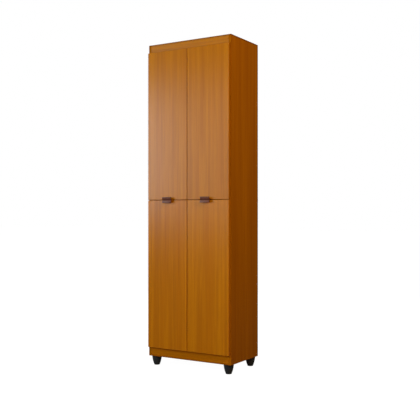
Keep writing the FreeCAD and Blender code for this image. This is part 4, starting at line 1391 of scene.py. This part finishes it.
def draw_strip(tree, at):
    path = add(tree, "GeometryNodeMeshToCurve", {"Mesh": at["Path"]})
    radius = add(tree, "GeometryNodeInputNamedAttribute", {"Name": "bend"}, data_type="FLOAT")
    bent = add(tree, "GeometryNodeFilletCurve", {"Curve": path, "Count": bend_steps, "Radius": radius},
               mode="POLY")
    sizes = {"Width": at["Sheet"], "Height": at["Width"]}
    section = add(tree, "GeometryNodeCurvePrimitiveQuadrilateral", sizes)
    soft = {"Curve": section, "Count": edge_steps, "Radius": at["Edge radius"]}
    strip = add(tree, "GeometryNodeCurveToMesh", {
        "Curve": bent,
        "Profile Curve": add(tree, "GeometryNodeFilletCurve", soft, mode="POLY"),
        "Fill Caps": True,
    })
    closed = add(tree, "GeometryNodeMergeByDistance", {"Geometry": strip, "Distance": merge_distance})
    cutter = add(tree, "GeometryNodeObjectInfo", {"Object": at["Cutter"]}).outputs["Geometry"]
    cut = add(tree, "GeometryNodeMeshBoolean", {"Mesh 1": closed, "Mesh 2": cutter},
              operation="DIFFERENCE", solver="EXACT")
    return {"Strip": coated(tree, cut, at["Material"])}


strip_tree = make_group("Bent strip", "GeometryNodeTree", {
    "Path": "Geometry",
    "Width": 60 * MM,
    "Sheet": 1.2 * MM,
    "Edge radius": 0.3 * MM,
    "Cutter": "Object",
    "Material": "Material",
}, draw_strip)

# %% Path of a pull and its screw holes
pull_wide, pull_sheet, pull_seat, pull_reach = 60 * MM, 1.2 * MM, 12 * MM, 20 * MM
pull_lip, pull_flare, pull_curl = 16 * MM, 3 * MM, 4.5 * MM
bend_inside, curl_inside = 2.3 * MM, 1.3 * MM
pull_screw_apart, hole_top, hole_foot = 40 * MM, 2.5 * MM, 1.35 * MM
hole_overrun, hole_flare, hole_ease = 1 * MM, 0.8 * MM, 0.02 * MM
door_thick = 15 * MM


def inset(points, distance):
    """A path that turns clockwise, moved inwards by a distance."""
    steps = [(b - a).normalized() for a, b in zip(points, points[1:])]
    inward = [Vector((step.y, -step.x)) for step in steps]
    moved = [points[0] + inward[0] * distance]
    for corner, before, after in zip(points[1:], inward, inward[1:]):
        moved.append(corner + (before + after) * (distance / (1 + before.dot(after))))
    return moved + [points[-1] + inward[-1] * distance]


slope = math.atan2(pull_flare, pull_lip)
rounding = (curl_inside + pull_sheet) * (math.tan(slope) + 1 / math.cos(slope) - 1)
tip = pull_reach + rounding
lip_end = pull_sheet - pull_lip
outer_path = [Vector(point) for point in (
    (-pull_seat, pull_sheet), (tip - pull_flare, pull_sheet), (tip, lip_end), (tip - pull_curl, lip_end),
)]
middle_path = inset(outer_path, pull_sheet / 2)
bends = [0.0, bend_inside + pull_sheet / 2, curl_inside + pull_sheet / 2, 0.0]

hole_cone = turned("hole_cone", [
    (0, hole_overrun), (hole_top + hole_flare, hole_overrun), (hole_top + hole_ease, 0),
    (hole_foot, -pull_sheet), (hole_foot, -2 * pull_sheet), (0, -2 * pull_sheet),
], steps=32)
hole_spots = [((-door_thick / 2, pull_sheet, half * pull_screw_apart / 2), facing(BACKWARDS))
              for half in (-1, 1)]
hole_cutter = place_all("hole_cutter", hole_cone, hole_spots, zinc, roll=0.0)

# %% A pull on every door
for door in door_names:
    rise = 1 if door.startswith("lower") else -1
    low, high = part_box(door + "_door")
    pull_low, pull_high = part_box(door + "_pull")
    path_mesh = line_mesh("pull_path", [(u, v, 0) for u, v in middle_path], bend=bends)
    pull = grown("bent_" + door + "_pull", path_mesh, strip_tree, sharp=30, width=pull_wide,
                 sheet=pull_sheet, cutter=hole_cutter, material=pull_lacquer)
    stand = Matrix(((0, 0, 1), (-1, 0, 0), (0, rise, 0))).to_4x4()
    stand.translation = ((pull_low.x + pull_high.x) / 2, low.y, high.z if rise > 0 else low.z)
    pull.data.transform(stand)
    if stand.determinant() < 0:
        pull.data.flip_normals()
    settle(pull, door + "_door", "pull_brown_metal", door + "_pull")
    spans = [[vertex.co[axis] for vertex in pull.data.vertices] for axis in range(3)]
    print(pull.name, [round((max(span) - min(span)) / MM, 2) for span in spans],
          "CAD", [round(size / MM, 2) for size in pull_high - pull_low])

# %% [markdown]
# ## Clearing up
#
# The templates have done their work and would show as pieces of their own, so they go.

# %% Remove the templates
templates = [long_flush, short_flush, foot_pan, *small_pans.values(), nail, cap, fluted_dowel, bumper,
             support, turned_foot, hole_cone, hole_cutter]
for template in templates:
    bpy.data.objects.remove(template)
